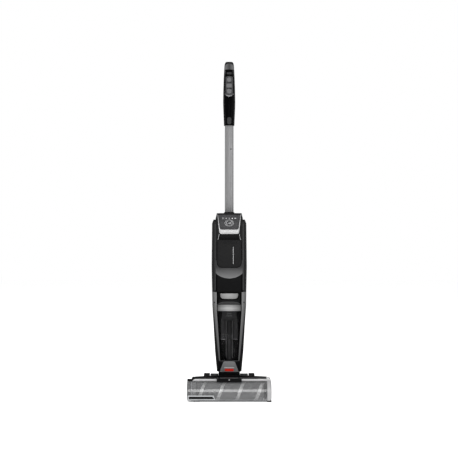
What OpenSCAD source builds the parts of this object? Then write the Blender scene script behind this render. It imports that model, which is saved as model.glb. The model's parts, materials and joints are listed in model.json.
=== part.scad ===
// Cordless wet and dry floor scrubber, standing upright on its floor head.
// Front faces -Y, +Z is up, the floor is z = 0 and the origin is under the middle of the head.

/* [Floor head] */
// Full width of the floor head
head_w = 270; // [266:1:276]
// Radius of the soft roller
roller_r = 29.5; // [28:0.5:30]
// Outer radius of the clear window over the roller
window_r = 38; // [37.5:0.5:38.5]
// Radius of the rear wheels
wheel_r = 33.5; // [31:0.5:34]
// Width of each rear wheel
wheel_w = 20; // [16:1:22]

/* [Housing] */
// Half width of the housing at its widest
housing_half_w = 58; // [56:0.5:60]
// Wall thickness of the housing shells
wall = 2.4; // [2:0.1:3]
// Height of the housing's shoulders
shoulder_z = 583; // [581:1:586]
// Height of the housing's top
housing_top_z = 604; // [602:1:608]

/* [Tanks] */
// Height of the dirty tank's bottom
tank_bottom_z = 119; // [118:1:122]
// Height of the dirty tank's rim
tank_rim_z = 283; // [278:1:286]
// Wall thickness of both tanks
tank_wall = 2; // [1.6:0.2:2.4]

/* [Wand and grip] */
// Outer radius of the wand tube
tube_r = 14.5; // [14:0.1:14.8]
// Wall thickness of the wand tube
tube_wall = 1.2; // [1:0.1:2]
// Height of the grip's lower edge
grip_bottom_z = 895; // [890:1:900]
// Height of the grip's top
grip_top_z = 1108; // [1106:1:1112]

/* [Hidden] */

// Colours
black = [0.06, 0.06, 0.06];
charcoal = [0.17, 0.17, 0.18];
slate = [0.32, 0.32, 0.33];
silver = [0.72, 0.72, 0.73];
smoke = [0.45, 0.46, 0.47, 0.5];

// General clearances
gap = 0.3;
run_fit = 0.06;
slab_t = 0.1;
far = 400;

// Floor head: places
half_w = head_w / 2;
cap_w = 14;
inner_half_w = half_w - cap_w;
plate_w = 2.5;
half_depth = 120;
roller_y = -half_depth + window_r;
roller_z = roller_r + 1;
head_floor_z = 5;
floor_t = 4;
head_rear_y = 12;
crest_y = -6;
crest_z = 55.5;
crest_r = 12;
tunnel_r = roller_r + 3;
tunnel_t = 2;
window_t = 2.4;
window_rear_deg = 76;
window_front_deg = 222;
skirt_deg = 214;
skirt_bottom_z = 1.2;
trim_t = 1.6;
trim_fit = 0.05;
trim_left_x = -118;
latch_half_w = 40;
latch_deg = [78, 124];
latch_t = 3.6;
core_r = 21;
sleeve_x = [-104, 110];
plug_w = 4;
motor_y = -18;
motor_z = 34;
motor_r = 17;
big_pulley_r = 16;
small_pulley_r = 7;
belt_t = 2;
belt_x = -inner_half_w + 4;
belt_w = 8;
journal_r = 4;
lip_y = -108.2;
lip_w = 7.5;
skid_t = 1.5;
blade_y = -45.5;
blade_t = 2.5;
blade_half_w = 112;
blade_top_z = 12;
screw_r = 1.6;
screw_head_r = 3.2;
screw_places = [for (x = [-100, 0, 100], y = [-38, 2]) [x, y]];

// Duct behind the roller
duct_half_w = 30;
duct_wall = 2;
duct_y = [roller_y + 35.4, -12];
duct_z = [13, 34];

// Rear deck, hinge and wheels
deck_in = 36;
deck_out = 62;
deck_top_z = 69;
deck_rear_y = 62;
deck_wall = 3;
hinge_y = 45;
hinge_z = 42;
hinge_pin_r = 5;
axle_y = half_depth - wheel_r;
axle_r = 5;
wheel_x = deck_out + 3;
tyre_t = 6;
spoke_w = 4;

// Neck and swivel
neck_top_z = 79.7;
neck_plate_t = 12;
neck_lug_r = 15;
spigot_r = 20;
spigot_top_z = 96;
hose_r = 12;
hose_wall = 2;

// Housing stations: height, half width, front y, rear y
housing_bottom_z = 80;
stations = [
    [housing_bottom_z, 41, 14, 66],
    [150, 47, -2, 74],
    [300, 55.5, -14, 84],
    [430, housing_half_w, -18, 88],
    [570, housing_half_w - 1.5, -16, 84],
    [shoulder_z, housing_half_w - 6, -13, 80]
];
floor_top_z = 108;
head_block = [
    [shoulder_z - 8, 45.5, -13, 78],
    [shoulder_z + 4, 45, -12, 76],
    [housing_top_z, 41, -9, 72]
];
housing_corner_r = 24;
split_y = 34;
spine_t = 10;
spine_top_z = 515;
frame_top_z = 345;

// Front panels: heights
display_bottom_z = 550;
display_top_z = 599;
bezel_bottom_z = 536;
pull_bottom_z = 517;
cover_top_z = 515.3;
cover_bottom_z = 427;
cover_half_w = 39;
accent_side_z = 407;
accent_mid_z = 390;
accent_half_w = 44;
badge_top_z = 116;
cut_y = -100;

// Fan, battery, board and pump
fan_y = 13.5;
fan_z = 354;
fan_r = 17;
fan_shaft_r = 2.5;
motor_bottom_z = 352;
motor_h = 66;
battery_low = [-34, -9, 432];
battery_high = [34, 29, 508];
board_z = [540, 590];
board_t = 1.6;
pump_y = 62;
pump_z = 425;
pump_h = 34;

// Tanks
tank_top_half_w = 40;
tank_bottom_half_w = 29;
tank_back_y = 32;
tank_low_front_y = 4;
tank_top_front_y = -11.5;
lid_front_y = -13;
lid_top_z = 303.7;
air_y = 10;
air_r = 9;
cap_top_z = frame_top_z - 1;
pipe_y = 16;
pipe_r = 7;
float_z = 190;
release_z = 332;
release_w = 60;
release_h = 18.6;
release_y = [-12, 1.6];
clean_bottom_z = 150;
clean_top_z = 400;
clean_front_y = split_y + spine_t + gap;
fill_cap_z = 372;
fill_cap_y = 87;
fill_hinge_z = fill_cap_z + 18;
fill_hinge_y = fill_cap_y + 1.5;
fill_cap_r = 14.5;
fill_pin_r = 1.5;

// Wand and grip
tube_y = 38;
tube_bottom_z = 520;
tube_top_z = 950;
grip_split_y = 42;
grip_cap_z = 1081;
panel_half_w = 12.2;
panel_bottom_z = 991;
panel_top_z = 1064;
power_z = 1047;
mode_z = 1027;
spray_z = 1007;
button_proud = 0.7;
// Grip stations: height, half width, half depth, centre y
grip_stations = [
    [grip_bottom_z, 17.4, 17, tube_y],
    [925, 18.1, 18, tube_y + 0.5],
    [950, 19.7, 19.5, tube_y + 1.2],
    [971, 20.3, 20, tube_y + 2],
    [1010, 19.7, 19, tube_y + 3.6],
    [1048, 18.5, 17.5, tube_y + 5.4],
    [1081, 16.9, 15.5, tube_y + 7],
    [1097, 15.7, 13.5, tube_y + 8],
    [grip_top_z - 4, 14, 11, tube_y + 8.6],
    [grip_top_z - slab_t, 11, 7.5, tube_y + 9]
];

$fn = 64;

// ---- Helpers ----

// Extrudes a (y, z) outline along X from x0
module along_x(x0, length) {
    translate([x0, 0, 0]) rotate([90, 0, 90]) linear_extrude(length) children();
}

// Extrudes an (x, z) outline along Y from y0
module along_y(y0, length) {
    translate([0, y0 + length, 0]) rotate([90, 0, 0]) linear_extrude(length) children();
}

// Round bar along X from x0 to x1
module bar_x(x0, x1, y, z, r) {
    translate([x0, y, z]) rotate([0, 90, 0]) cylinder(h = x1 - x0, r = r);
}

// Box between two corners
module box(low, high) {
    translate(low) cube(high - low);
}

// Copies its children to the other side of the head as well
module both_sides() {
    children();
    mirror([1, 0, 0]) children();
}

// Rectangle with round corners, centred
module rounded(w, h, r) {
    square([w - 2 * r, h], center = true);
    square([w, h - 2 * r], center = true);
    for (sx = [-1, 1], sy = [-1, 1])
        translate([sx * (w / 2 - r), sy * (h / 2 - r)]) circle(r);
}

// Ring sector about the roller axis, as a (y, z) outline between two angles from +Y
module roller_sector(r_in, r_out, a0, a1) {
    reach = 2 * r_out;
    steps = 4;
    wedge = [for (i = [0 : steps]) let (a = a0 + (a1 - a0) * i / steps) reach * [cos(a), sin(a)]];
    translate([roller_y, roller_z])
        intersection() {
            difference() {
                circle(r_out, $fn = 128);
                circle(r_in, $fn = 128);
            }
            polygon(concat([[0, 0]], wedge));
        }
}

// A (y, z) point at a radius and an angle about the roller axis
function roller_point(r, a) = [roller_y + r * cos(a), roller_z + r * sin(a)];

// Thin slab of the housing at one station, drawn in by g
module housing_slab(s, g) {
    w = 2 * (s[1] - g);
    d = s[3] - s[2] - 2 * g;
    translate([0, (s[2] + s[3]) / 2, s[0]])
        linear_extrude(slab_t) rounded(w, d, housing_corner_r - g, $fn = 32);
}

// The whole housing as one closed form, drawn in by g
module housing_form(g) {
    last = len(stations) - 1;
    top = len(head_block) - 1;
    hull() {
        translate([0, 0, g]) housing_slab(stations[0], g);
        for (i = [1 : last - 1]) housing_slab(stations[i], g);
        translate([0, 0, -g]) housing_slab(stations[last], g);
    }
    hull() {
        for (i = [0 : top - 1]) housing_slab(head_block[i], g);
        translate([0, 0, -g]) housing_slab(head_block[top], g);
    }
}

// The skin of the housing between two depths
module housing_skin(g_out, g_in) {
    difference() {
        housing_form(g_out);
        housing_form(g_in);
    }
}

// Everything in front of a plane y, between two heights
module front_of(y, z0, z1) {
    box([-far, -far, z0], [far, y, z1]);
}

// Everything behind a plane y, between two heights
module behind(y, z0, z1) {
    box([-far, y, z0], [far, far, z1]);
}

// ---- Floor head ----

// Side outline of the head, drawn in by g
module head_profile(g) {
    intersection() {
        hull() {
            translate([roller_y, roller_z]) circle(window_r - g, $fn = 96);
            translate([crest_y, crest_z]) circle(crest_r - g, $fn = 48);
            translate([0, head_floor_z + g]) square([head_rear_y - g, 10]);
        }
        translate([-far, head_floor_z + g]) square([2 * far, far]);
    }
}

// Base casting: roller tunnel, floor plate, side plates, rear deck and wheel stubs
module head_chassis() color(black) {
    floor_z = head_floor_z + floor_t;
    tunnel_x = belt_x + belt_w + 1.5;
    difference() {
        union() {
            along_x(tunnel_x, inner_half_w - plate_w - tunnel_x)
                roller_sector(tunnel_r, tunnel_r + tunnel_t, -44, 76);
            box([-inner_half_w, roller_y + 26, head_floor_z], [inner_half_w, head_rear_y, floor_z]);
            box([-inner_half_w, lip_y, skid_t], [inner_half_w, lip_y + lip_w, skid_t + 3.2]);
            for (x0 = [-inner_half_w, inner_half_w - plate_w]) {
                along_x(x0, plate_w) head_profile(wall + 1.4);
                box([x0, lip_y, skid_t], [x0 + plate_w, lip_y + lip_w, 14]);
            }
            both_sides() rear_deck(floor_z);
        }
        both_sides() {
            bar_x(deck_in - 1, deck_in + 9, hinge_y, hinge_z, hinge_pin_r);
            bar_x(inner_half_w - plate_w - 1, inner_half_w + 1, roller_y, roller_z, journal_r + run_fit);
        }
        blade_slot();
        suction_slot();
        for (p = screw_places) translate([p[0], p[1], 0]) cylinder(h = 12, r = screw_r);
    }
}

// One side of the rear deck: a hollow arm, the wheel's bracket and its stub axle
module rear_deck(floor_z) {
    low = [deck_in + deck_wall, head_rear_y, -1];
    high = [deck_out - deck_wall, deck_rear_y - deck_wall, deck_top_z - deck_wall];
    difference() {
        box([deck_in, head_rear_y - 3, floor_z], [deck_out, deck_rear_y, deck_top_z]);
        box(low, high);
    }
    box([deck_out - 12, deck_rear_y - 4, 22], [deck_out, axle_y + 9, 45]);
    bar_x(deck_out - 1, wheel_x + wheel_w + 1, axle_y, wheel_r, axle_r);
}

// Opening through the roller tunnel into the duct
module suction_slot() {
    half = duct_half_w - 4;
    box([-half, roller_y + 28, duct_z[0] + 2], [half, roller_y + 38, duct_z[1] - 3]);
}

// Slot in the floor plate for the rubber wiper
module blade_slot() {
    fit = 0.1;
    half = blade_half_w + fit;
    box([-half, blade_y - fit, 0], [half, blade_y + blade_t + fit, blade_top_z]);
}

// Identical screws that hold the covers to the chassis
module head_screws() color(slate) {
    for (p = screw_places) translate([p[0], p[1], head_floor_z - 2]) {
        cylinder(h = 2, r = screw_head_r);
        cylinder(h = 8, r = screw_r);
    }
}

// Black cover over the motor and the duct, open at the neck
module head_top_cover() color(black) {
    front_y = roller_y + 10.4;
    floor_z = head_floor_z + floor_t;
    difference() {
        along_x(-inner_half_w, 2 * inner_half_w) difference() {
            head_profile(0);
            head_profile(wall);
            translate([-far, -1]) square([far + front_y, far]);
            translate([-far, -1]) square([2 * far, floor_z + 1.2]);
        }
        box([-deck_in, head_rear_y - 4, floor_z], [deck_in, far, far]);
        box([-deck_in, 0, floor_z], [deck_in, far, deck_top_z - 10]);
        both_sides() box([deck_in, head_rear_y - 3.2, floor_z], [deck_out + 0.2, far, deck_top_z + 0.2]);
    }
}

// Hollow cap that closes one end of the head
module end_cap() {
    difference() {
        along_x(inner_half_w, cap_w) head_profile(0);
        along_x(inner_half_w - 1, cap_w - 1.6) head_profile(wall);
    }
}

module end_cap_right() color(silver) end_cap();

// Drive end's cap: it is drawn in under the window, which reaches over it
module end_cap_left() color(slate) {
    drawn_in = window_t + gap;
    difference() {
        mirror([1, 0, 0]) along_x(inner_half_w, cap_w) head_profile(0);
        mirror([1, 0, 0]) along_x(inner_half_w - 1, cap_w - 1.6) head_profile(drawn_in + wall);
        along_x(-half_w - 1, cap_w + 2)
            roller_sector(window_r - drawn_in, window_r + 2, window_rear_deg - 1, window_front_deg + 20);
    }
}

// Electric motor that drives the roller through the belt
module brush_motor() color(slate) {
    can = [-98, -42];
    boss_w = 4;
    bar_x(can[0], can[1], motor_y, motor_z, motor_r);
    bar_x(can[0] - boss_w, can[0], motor_y, motor_z, 8);
}

// Pulley on the motor's shaft, a running gap from the motor's boss
module motor_pulley() color(silver) {
    boss_x = -102;
    shaft_r = 2.5;
    bar_x(belt_x, belt_x + belt_w, motor_y, motor_z, small_pulley_r);
    bar_x(belt_x + belt_w - 1, boss_x - gap, motor_y, motor_z, shaft_r);
}

// Toothless flat belt round both pulleys
module drive_belt() color(black) {
    along_x(belt_x + 0.5, belt_w - 1) difference() {
        belt_outline(gap + belt_t);
        belt_outline(gap);
    }
}

// Outline round both pulleys, drawn out by g
module belt_outline(g) {
    hull() {
        translate([roller_y, roller_z]) circle(big_pulley_r + g, $fn = 96);
        translate([motor_y, motor_z]) circle(small_pulley_r + g, $fn = 64);
    }
}

// Rubber wiper behind the roller
module squeegee_blade() color(black)
    box([-blade_half_w, blade_y, 0.8], [blade_half_w, blade_y + blade_t, blade_top_z]);

// Pipe that wets the roller from above
module spray_bar() color(slate) {
    pipe_x = [-90, 100];
    bar_x(pipe_x[0], pipe_x[1], roller_y + 22, roller_z + 31, 2.2);
}

// Duct from the roller tunnel to the neck hose
module suction_nozzle() color(charcoal) {
    pipe_z = hinge_z - 2;
    pipe_front_y = -14;
    pipe_len = 31;
    difference() {
        union() {
            box([-duct_half_w, duct_y[0], duct_z[0]], [duct_half_w, duct_y[1], duct_z[1]]);
            translate([0, pipe_front_y, pipe_z]) rotate([-90, 0, 0]) cylinder(h = pipe_len, r = hose_r);
            box([-hose_r, pipe_front_y, 20], [hose_r, 0, pipe_z]);
        }
        box([duct_wall - duct_half_w, duct_y[0] - 1, duct_z[0] + duct_wall],
            [duct_half_w - duct_wall, duct_y[1] - duct_wall, duct_z[1] - duct_wall]);
        translate([0, pipe_front_y - 2, pipe_z]) rotate([-90, 0, 0])
            cylinder(h = pipe_len + 3, r = hose_r - hose_wall);
    }
}

// Two pads that carry the front of the head
module front_skids() color(black) {
    left_x = [-114, -94];
    box([left_x[0], lip_y + 1, 0], [left_x[1], lip_y + lip_w - 0.5, skid_t]);
    box([inner_half_w + 0.2, lip_y + 1, 0], [half_w, lip_y + 20, head_floor_z]);
}

// Two pins of the recline hinge, fixed in the deck
module hinge_pins() color(silver)
    both_sides() bar_x(22, deck_in + 9, hinge_y, hinge_z, hinge_pin_r);

// Clear window over the roller, with a skirt that hangs down to the floor; it reaches over the left cap
module window_cover() color(smoke) {
    outer = roller_point(window_r, skirt_deg);
    inner = roller_point(window_r - window_t, skirt_deg);
    foot_y = -111;
    along_x(-half_w, half_w + inner_half_w - gap) {
        roller_sector(window_r - window_t, window_r, window_rear_deg, window_front_deg);
        polygon([outer, [foot_y, skirt_bottom_z], [foot_y + window_t, skirt_bottom_z], inner]);
    }
}

// Silver band along the top of the window
module window_trim() color(silver)
    along_x(trim_left_x, inner_half_w - gap - trim_left_x)
        roller_sector(window_r + trim_fit, window_r + trim_t, 78, 120);

// Pull tab that frees the window
module window_latch() color(black) {
    r = window_r + trim_t + gap;
    along_x(-latch_half_w, 2 * latch_half_w) roller_sector(r, r + latch_t, latch_deg[0], latch_deg[1]);
}

// ---- Roller ----

// Plastic core with a journal at each end
module roller_core() color(slate) {
    journal_x = inner_half_w - 0.3;
    bar_x(belt_x + belt_w + 2, sleeve_x[1] + 2, roller_y, roller_z, core_r);
    bar_x(-journal_x, journal_x, roller_y, roller_z, journal_r);
}

// A ring about the roller axis between two places on X
module roller_ring(x0, x1, r_out, r_in) {
    difference() {
        bar_x(x0, x1, roller_y, roller_z, r_out);
        bar_x(x0 - 1, x1 + 1, roller_y, roller_z, r_in);
    }
}

// Soft pile round the core
module roller_sleeve() color([0.5, 0.5, 0.5])
    roller_ring(sleeve_x[0], sleeve_x[1], roller_r, core_r);

// Hub that holds the sleeve at the service end
module roller_end_plug() color(charcoal)
    roller_ring(sleeve_x[1] + 2, sleeve_x[1] + 2 + plug_w, core_r + 3, journal_r);

// Belt pulley on the driven end
module roller_pulley() color(silver)
    roller_ring(belt_x, belt_x + belt_w, big_pulley_r, journal_r);

// ---- Wheels ----

// Rim with a hub and five spokes
module wheel_hub() {
    rim_r = wheel_r - tyre_t;
    rim_t = 4;
    web_w = 8;
    spokes = 5;
    difference() {
        union() {
            difference() {
                bar_x(wheel_x, wheel_x + wheel_w, axle_y, wheel_r, rim_r);
                bar_x(wheel_x + web_w, wheel_x + wheel_w + 1, axle_y, wheel_r, rim_r - rim_t);
            }
            bar_x(wheel_x, wheel_x + wheel_w, axle_y, wheel_r, axle_r + 4);
            for (i = [0 : spokes - 1])
                translate([wheel_x + 1, axle_y, wheel_r]) rotate([i * 360 / spokes, 0, 0])
                    translate([0, -spoke_w / 2, 0]) cube([wheel_w - 3, spoke_w, rim_r - rim_t / 2]);
        }
        bar_x(wheel_x - 1, wheel_x + wheel_w + 1, axle_y, wheel_r, axle_r + run_fit);
    }
}

// Tyre with rounded shoulders
module wheel_tyre() {
    round_r = 2.5;
    translate([wheel_x, axle_y, wheel_r]) rotate([0, 90, 0]) rotate_extrude($fn = 96)
        translate([wheel_r - tyre_t, 0]) {
            square([tyre_t - round_r, wheel_w]);
            translate([0, round_r]) square([tyre_t, wheel_w - 2 * round_r]);
            for (v = [round_r, wheel_w - round_r])
                translate([tyre_t - round_r, v]) circle(round_r, $fn = 32);
        }
}

module wheel_hub_right() color(charcoal) wheel_hub();

module wheel_tyre_right() color(black) wheel_tyre();

module wheel_hub_left() color(charcoal) mirror([1, 0, 0]) wheel_hub();

module wheel_tyre_left() color(black) mirror([1, 0, 0]) wheel_tyre();

// ---- Neck ----

// Yoke that reclines on the hinge pins and carries the swivel spigot
module neck_yoke() color(black) {
    plate_in = hose_r + 1.5;
    plate_out = deck_in - 1;
    plate_z = neck_top_z - neck_plate_t;
    difference() {
        union() {
            both_sides() {
                bar_x(plate_in, plate_out, hinge_y, hinge_z, neck_lug_r);
                box([plate_in, hinge_y - neck_lug_r, hinge_z], [plate_out, hinge_y + neck_lug_r, plate_z]);
            }
            translate([0, hinge_y, plate_z]) linear_extrude(neck_plate_t) rounded(66, 42, 12);
            translate([0, hinge_y, neck_top_z - 1])
                cylinder(h = spigot_top_z - neck_top_z + 1, r = spigot_r);
        }
        both_sides() bar_x(plate_in - 1, plate_out + 1, hinge_y, hinge_z, hinge_pin_r + run_fit);
        translate([0, hinge_y, plate_z - 8]) cylinder(h = 60, r = hose_r + 1);
    }
}

// Suction hose between the head's duct and the housing: a level leg, a bend and an upright leg
module neck_hose() color(charcoal) {
    bend_r = 14;
    leg = 24;
    top_z = spigot_top_z + 8;
    translate([0, hinge_y, hinge_z + bend_r]) linear_extrude(top_z - hinge_z - bend_r) hose_ring();
    translate([0, hinge_y - bend_r, hinge_z]) rotate([90, 0, 0]) linear_extrude(leg - bend_r) hose_ring();
    translate([0, hinge_y - bend_r, hinge_z + bend_r]) rotate([0, -90, 0]) rotate([0, 0, 90])
        rotate_extrude(angle = 90) translate([bend_r, 0]) hose_ring();
}

// Cross section of the hose
module hose_ring() {
    difference() {
        circle(hose_r);
        circle(hose_r - hose_wall);
    }
}

// ---- Housing ----

// Block at the housing's foot that turns on the neck's spigot
module swivel_socket() color(black) {
    difference() {
        intersection() {
            housing_form(wall + gap);
            box([-far, -far, housing_bottom_z], [far, far, floor_top_z]);
        }
        translate([0, hinge_y, 0]) cylinder(h = floor_top_z + 20, r = spigot_r + run_fit);
    }
}

// Inner plate between the two tanks, which carries every housing part
module spine() color(charcoal)
    intersection() {
        housing_form(wall + gap);
        box([-far, split_y + gap, floor_top_z], [far, split_y + spine_t, spine_top_z]);
    }

// Outline of the bay that the dirty tank slides into, drawn out by g
module tank_bay_outline(g) {
    slope = (tank_top_half_w - tank_bottom_half_w) / (tank_rim_z - tank_bottom_z);
    low_w = tank_bottom_half_w + g;
    top_w = tank_top_half_w + g;
    polygon([
        [-low_w, tank_bottom_z - g], [low_w, tank_bottom_z - g],
        [top_w, tank_rim_z], [top_w, far], [-top_w, far], [-top_w, tank_rim_z]
    ]);
}

// Grey frame with a strut on each side of the dirty tank
module tank_frame() color(slate)
    difference() {
        intersection() {
            housing_form(0);
            front_of(split_y, housing_bottom_z, frame_top_z);
        }
        along_y(cut_y, 200) tank_bay_outline(1);
        intersection() {
            housing_form(wall);
            box([-far, -far, floor_top_z], [far, far, far]);
            both_sides() along_y(cut_y, 200)
                difference() {
                    translate([0, housing_bottom_z + 10]) square([far, far]);
                    tank_bay_outline(1 + wall);
                }
        }
        intersection() {
            housing_form(wall);
            front_of(far, housing_bottom_z - 1, floor_top_z);
        }
        spigot_hole();
        along_y(cut_y, 120) badge_outline(0);
    }

// Room for the neck's spigot in the housing's floor
module spigot_hole() translate([0, hinge_y, 0]) cylinder(h = spigot_top_z, r = spigot_r + 1);

// Outline of the plate below the tank, drawn out by g
module badge_outline(g) {
    low = housing_bottom_z - 1;
    top_r = 8;
    low_r = 4;
    intersection() {
        hull() {
            for (s = [-1, 1]) {
                translate([s * 13, badge_top_z - top_r]) circle(top_r + g);
                translate([s * 29, low - low_r]) circle(low_r + g);
            }
        }
        translate([-far, low]) square([2 * far, far]);
    }
}

// Plate that carries the badge
module badge_plate() color(slate)
    intersection() {
        housing_skin(0, wall);
        along_y(cut_y, 120) badge_outline(0);
    }

// Outline with round lower corners that widens towards its top, drawn out by g
module flared_outline(low_half_w, top_half_w, z0, z1, g) {
    r = 7;
    hull() {
        for (s = [-1, 1]) {
            translate([s * (low_half_w - r), z0 + r]) circle(r + g);
            translate([s * (top_half_w - 1) - g - 1, z1 - 1 + g]) square([2 * g + 2, 1]);
        }
    }
}

// Outline of the display between its slanted sides, drawn out by g
module display_outline(g) {
    flared_outline(31.5, 37, display_bottom_z, display_top_z, g);
}

// Outline of the display's silver frame, with its deep lower bar
module bezel_outline(g) {
    flared_outline(32.5, 38.5, bezel_bottom_z, display_top_z, g);
}

// Outline of the finger pull above the front cover
module pull_outline(g) {
    low_w = 32 + g;
    top_w = 29 + g;
    top_z = bezel_bottom_z + 6;
    polygon([[-low_w, pull_bottom_z - g], [low_w, pull_bottom_z - g], [top_w, top_z], [-top_w, top_z]]);
}

// Outline of the front cover with its round lower corners, drawn out by g
module cover_outline(g) {
    r = 16;
    side_z = cover_bottom_z + r;
    translate([-cover_half_w - g, side_z]) square([2 * (cover_half_w + g), cover_top_z + g - side_z]);
    translate([-cover_half_w + r, cover_bottom_z - g]) square([2 * (cover_half_w - r), r + 1]);
    for (s = [-1, 1]) translate([s * (cover_half_w - r), cover_bottom_z + r]) circle(r + g);
}

// Outline of the accent panel: straight sides and an arched lower edge
module accent_outline(g) {
    drop = accent_side_z - accent_mid_z;
    r = (accent_half_w * accent_half_w + drop * drop) / (2 * drop);
    intersection() {
        translate([-accent_half_w - g, accent_mid_z - g]) square([2 * (accent_half_w + g), 60 + 2 * g]);
        translate([0, accent_mid_z + r]) circle(r + g, $fn = 180);
    }
}

// Dark front shell with a side rail on each side of the panels
module front_frame() color(charcoal)
    difference() {
        intersection() {
            housing_skin(0, wall);
            front_of(split_y, frame_top_z + gap, far * 2);
        }
        along_y(cut_y, 110) {
            bezel_outline(0);
            pull_outline(0);
            cover_outline(gap);
            accent_outline(0);
            translate([-accent_half_w, frame_top_z - 1])
                square([2 * accent_half_w, accent_side_z - frame_top_z + 6]);
        }
        translate([0, tube_y, 0]) cylinder(h = far * 2, r = tube_r + 0.1);
    }

// Back shell with the bay of the clean tank and the socket of the wand
module rear_housing() color(charcoal) {
    socket_wall = 3;
    rib_t = 3;
    difference() {
        union() {
            intersection() {
                housing_skin(0, wall);
                behind(split_y, 0, far * 2);
            }
            translate([0, tube_y, spine_top_z + 1])
                cylinder(h = housing_top_z - spine_top_z - 5, r = tube_r + socket_wall);
            for (z = [spine_top_z + 2, shoulder_z - 8])
                intersection() {
                    housing_form(1);
                    box([-far, split_y, z], [far, far, z + rib_t]);
                }
        }
        behind(clean_front_y - gap, clean_bottom_z - gap, clean_top_z + gap);
        spigot_hole();
        translate([0, tube_y, spine_top_z]) cylinder(h = far, r = tube_r + 0.1);
    }
}

// Ring where the wand enters the housing
module tube_collar() color(black) {
    base_r = 17.5;
    bore_r = tube_r + 0.1;
    top_r = 16;
    h = 4;
    translate([0, tube_y, housing_top_z + slab_t]) rotate_extrude()
        polygon([[bore_r, 0], [base_r, 0], [base_r, 1.5], [top_r, h], [bore_r, h]]);
}

// Speckled panel round the dial
module display_panel() color(slate)
    intersection() {
        housing_skin(0.6, wall + 0.6);
        along_y(cut_y, 110) display_outline(0);
    }

// Silver frame round the display
module display_bezel() color(silver)
    intersection() {
        housing_skin(-0.5, wall);
        along_y(cut_y, 110) difference() {
            bezel_outline(0);
            display_outline(0);
        }
    }

// Grey panel that sweeps round the foot of the front cover
module accent_panel() color(slate)
    intersection() {
        housing_skin(0, wall);
        along_y(cut_y, 110) difference() {
            accent_outline(0);
            cover_outline(gap);
        }
    }

// Black inset wall in front of the fan, and the floor of the finger pull
module motor_shroud() color(black) {
    wall_depth = 5;
    pull_depth = 4;
    pull_half_w = 34;
    shroud_t = 2;
    intersection() {
        housing_skin(wall_depth, wall_depth + shroud_t);
        along_y(cut_y, 110) translate([-accent_half_w, frame_top_z + gap]) square([2 * accent_half_w, 78]);
    }
    intersection() {
        housing_skin(pull_depth, pull_depth + shroud_t);
        along_y(cut_y, 110) translate([-pull_half_w, pull_bottom_z - 3]) square([2 * pull_half_w, 30]);
    }
}

// Can of the suction motor, open below for the impeller
module suction_motor() color(silver) {
    can_r = 19.5;
    room_h = 21;
    translate([0, fan_y, motor_bottom_z]) difference() {
        cylinder(h = motor_h, r = can_r);
        translate([0, 0, -1]) cylinder(h = room_h, r = fan_r + 1);
        translate([0, 0, room_h - 2]) cylinder(h = 12, r = fan_shaft_r + run_fit);
    }
}

// Fan wheel with straight blades on its shaft
module fan_impeller() color(silver) {
    blades = 9;
    disc_t = 1.6;
    blade_low = [3, -0.6, disc_t - 0.6];
    blade_size = [13, 1.2, 12];
    translate([0, fan_y, fan_z]) {
        cylinder(h = disc_t, r = fan_r);
        cylinder(h = 28, r = fan_shaft_r);
        for (i = [0 : blades - 1]) rotate([0, 0, i * 360 / blades]) translate(blade_low) cube(blade_size);
    }
}

// Rechargeable cells in their case, with the block that carries the plug
module battery_pack() color([0.1, 0.2, 0.35]) {
    plug_half_w = 10;
    box(battery_low, battery_high);
    box([-plug_half_w, battery_high[1], battery_low[2] + 8], [plug_half_w, split_y, battery_high[2] - 8]);
}

// Circuit board behind the display
module control_board() color([0.1, 0.35, 0.2]) {
    half = 28;
    chip = [8, 2.4, 12];
    box([-half, 0, board_z[0]], [half, board_t, board_z[1]]);
    for (x = [-16, 8]) translate([x, board_t, board_z[0] + 10]) cube(chip);
}

// Pump that feeds the spray bar, on a bracket from the spine
module water_pump() color(slate) {
    r = 14;
    head_r = 9;
    bracket_half_w = 6;
    translate([0, pump_y, pump_z]) cylinder(h = pump_h, r = r);
    translate([0, pump_y, pump_z + pump_h]) cylinder(h = 12, r = head_r);
    box([-bracket_half_w, split_y + spine_t, pump_z + 5], [bracket_half_w, pump_y - 12, pump_z + 27]);
}

// Removable cover over the battery
module front_cover() color(charcoal)
    intersection() {
        housing_skin(-0.5, wall - 0.5);
        along_y(cut_y, 110) cover_outline(0);
    }

// ---- Tanks ----

// Tapered form of the dirty tank, drawn in by g and left open at the top
module tank_form(g) {
    hull() {
        tank_slab(tank_bottom_z + g, tank_bottom_half_w - g, tank_low_front_y + g, g);
        tank_slab(tank_rim_z - slab_t + g, tank_top_half_w - g, tank_top_front_y + g, g);
    }
}

// Thin slab of the tank between a front y and the tank's back
module tank_slab(z, half, y0, g) {
    depth = tank_back_y - g - y0;
    translate([0, y0 + depth / 2, z]) linear_extrude(slab_t) rounded(2 * half, depth, 9, $fn = 32);
}

// Clear container for the dirty water
module dirty_tank() color(smoke)
    difference() {
        tank_form(0);
        tank_form(tank_wall);
    }

// Bright band that closes the tank
module dirty_tank_lid() color(silver) {
    recess = [62, 26];
    recess_h = 16;
    difference() {
        hull() {
            tank_slab(tank_rim_z, tank_top_half_w, tank_top_front_y, 0);
            tank_slab(lid_top_z - slab_t, tank_top_half_w, lid_front_y, 0);
        }
        translate([0, air_y, tank_rim_z - 1]) linear_extrude(recess_h + 1) square(recess, center = true);
        translate([0, air_y, tank_rim_z]) cylinder(h = 40, r = air_r);
    }
}

// Black head of the tank, which holds the release pad
module tank_cap() color(black) {
    depth = 41;
    pocket_y = 6.5;
    difference() {
        intersection() {
            translate([0, tank_back_y - 1 - depth / 2, lid_top_z]) linear_extrude(cap_top_z - lid_top_z)
                rounded(2 * (tank_top_half_w - 1.5), depth, 9);
            along_y(cut_y, 200) cap_outline();
        }
        along_y(cut_y, pocket_y - cut_y) release_outline(gap);
        translate([0, air_y, lid_top_z - 1]) cylinder(h = 9, r = air_r);
    }
}

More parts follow.
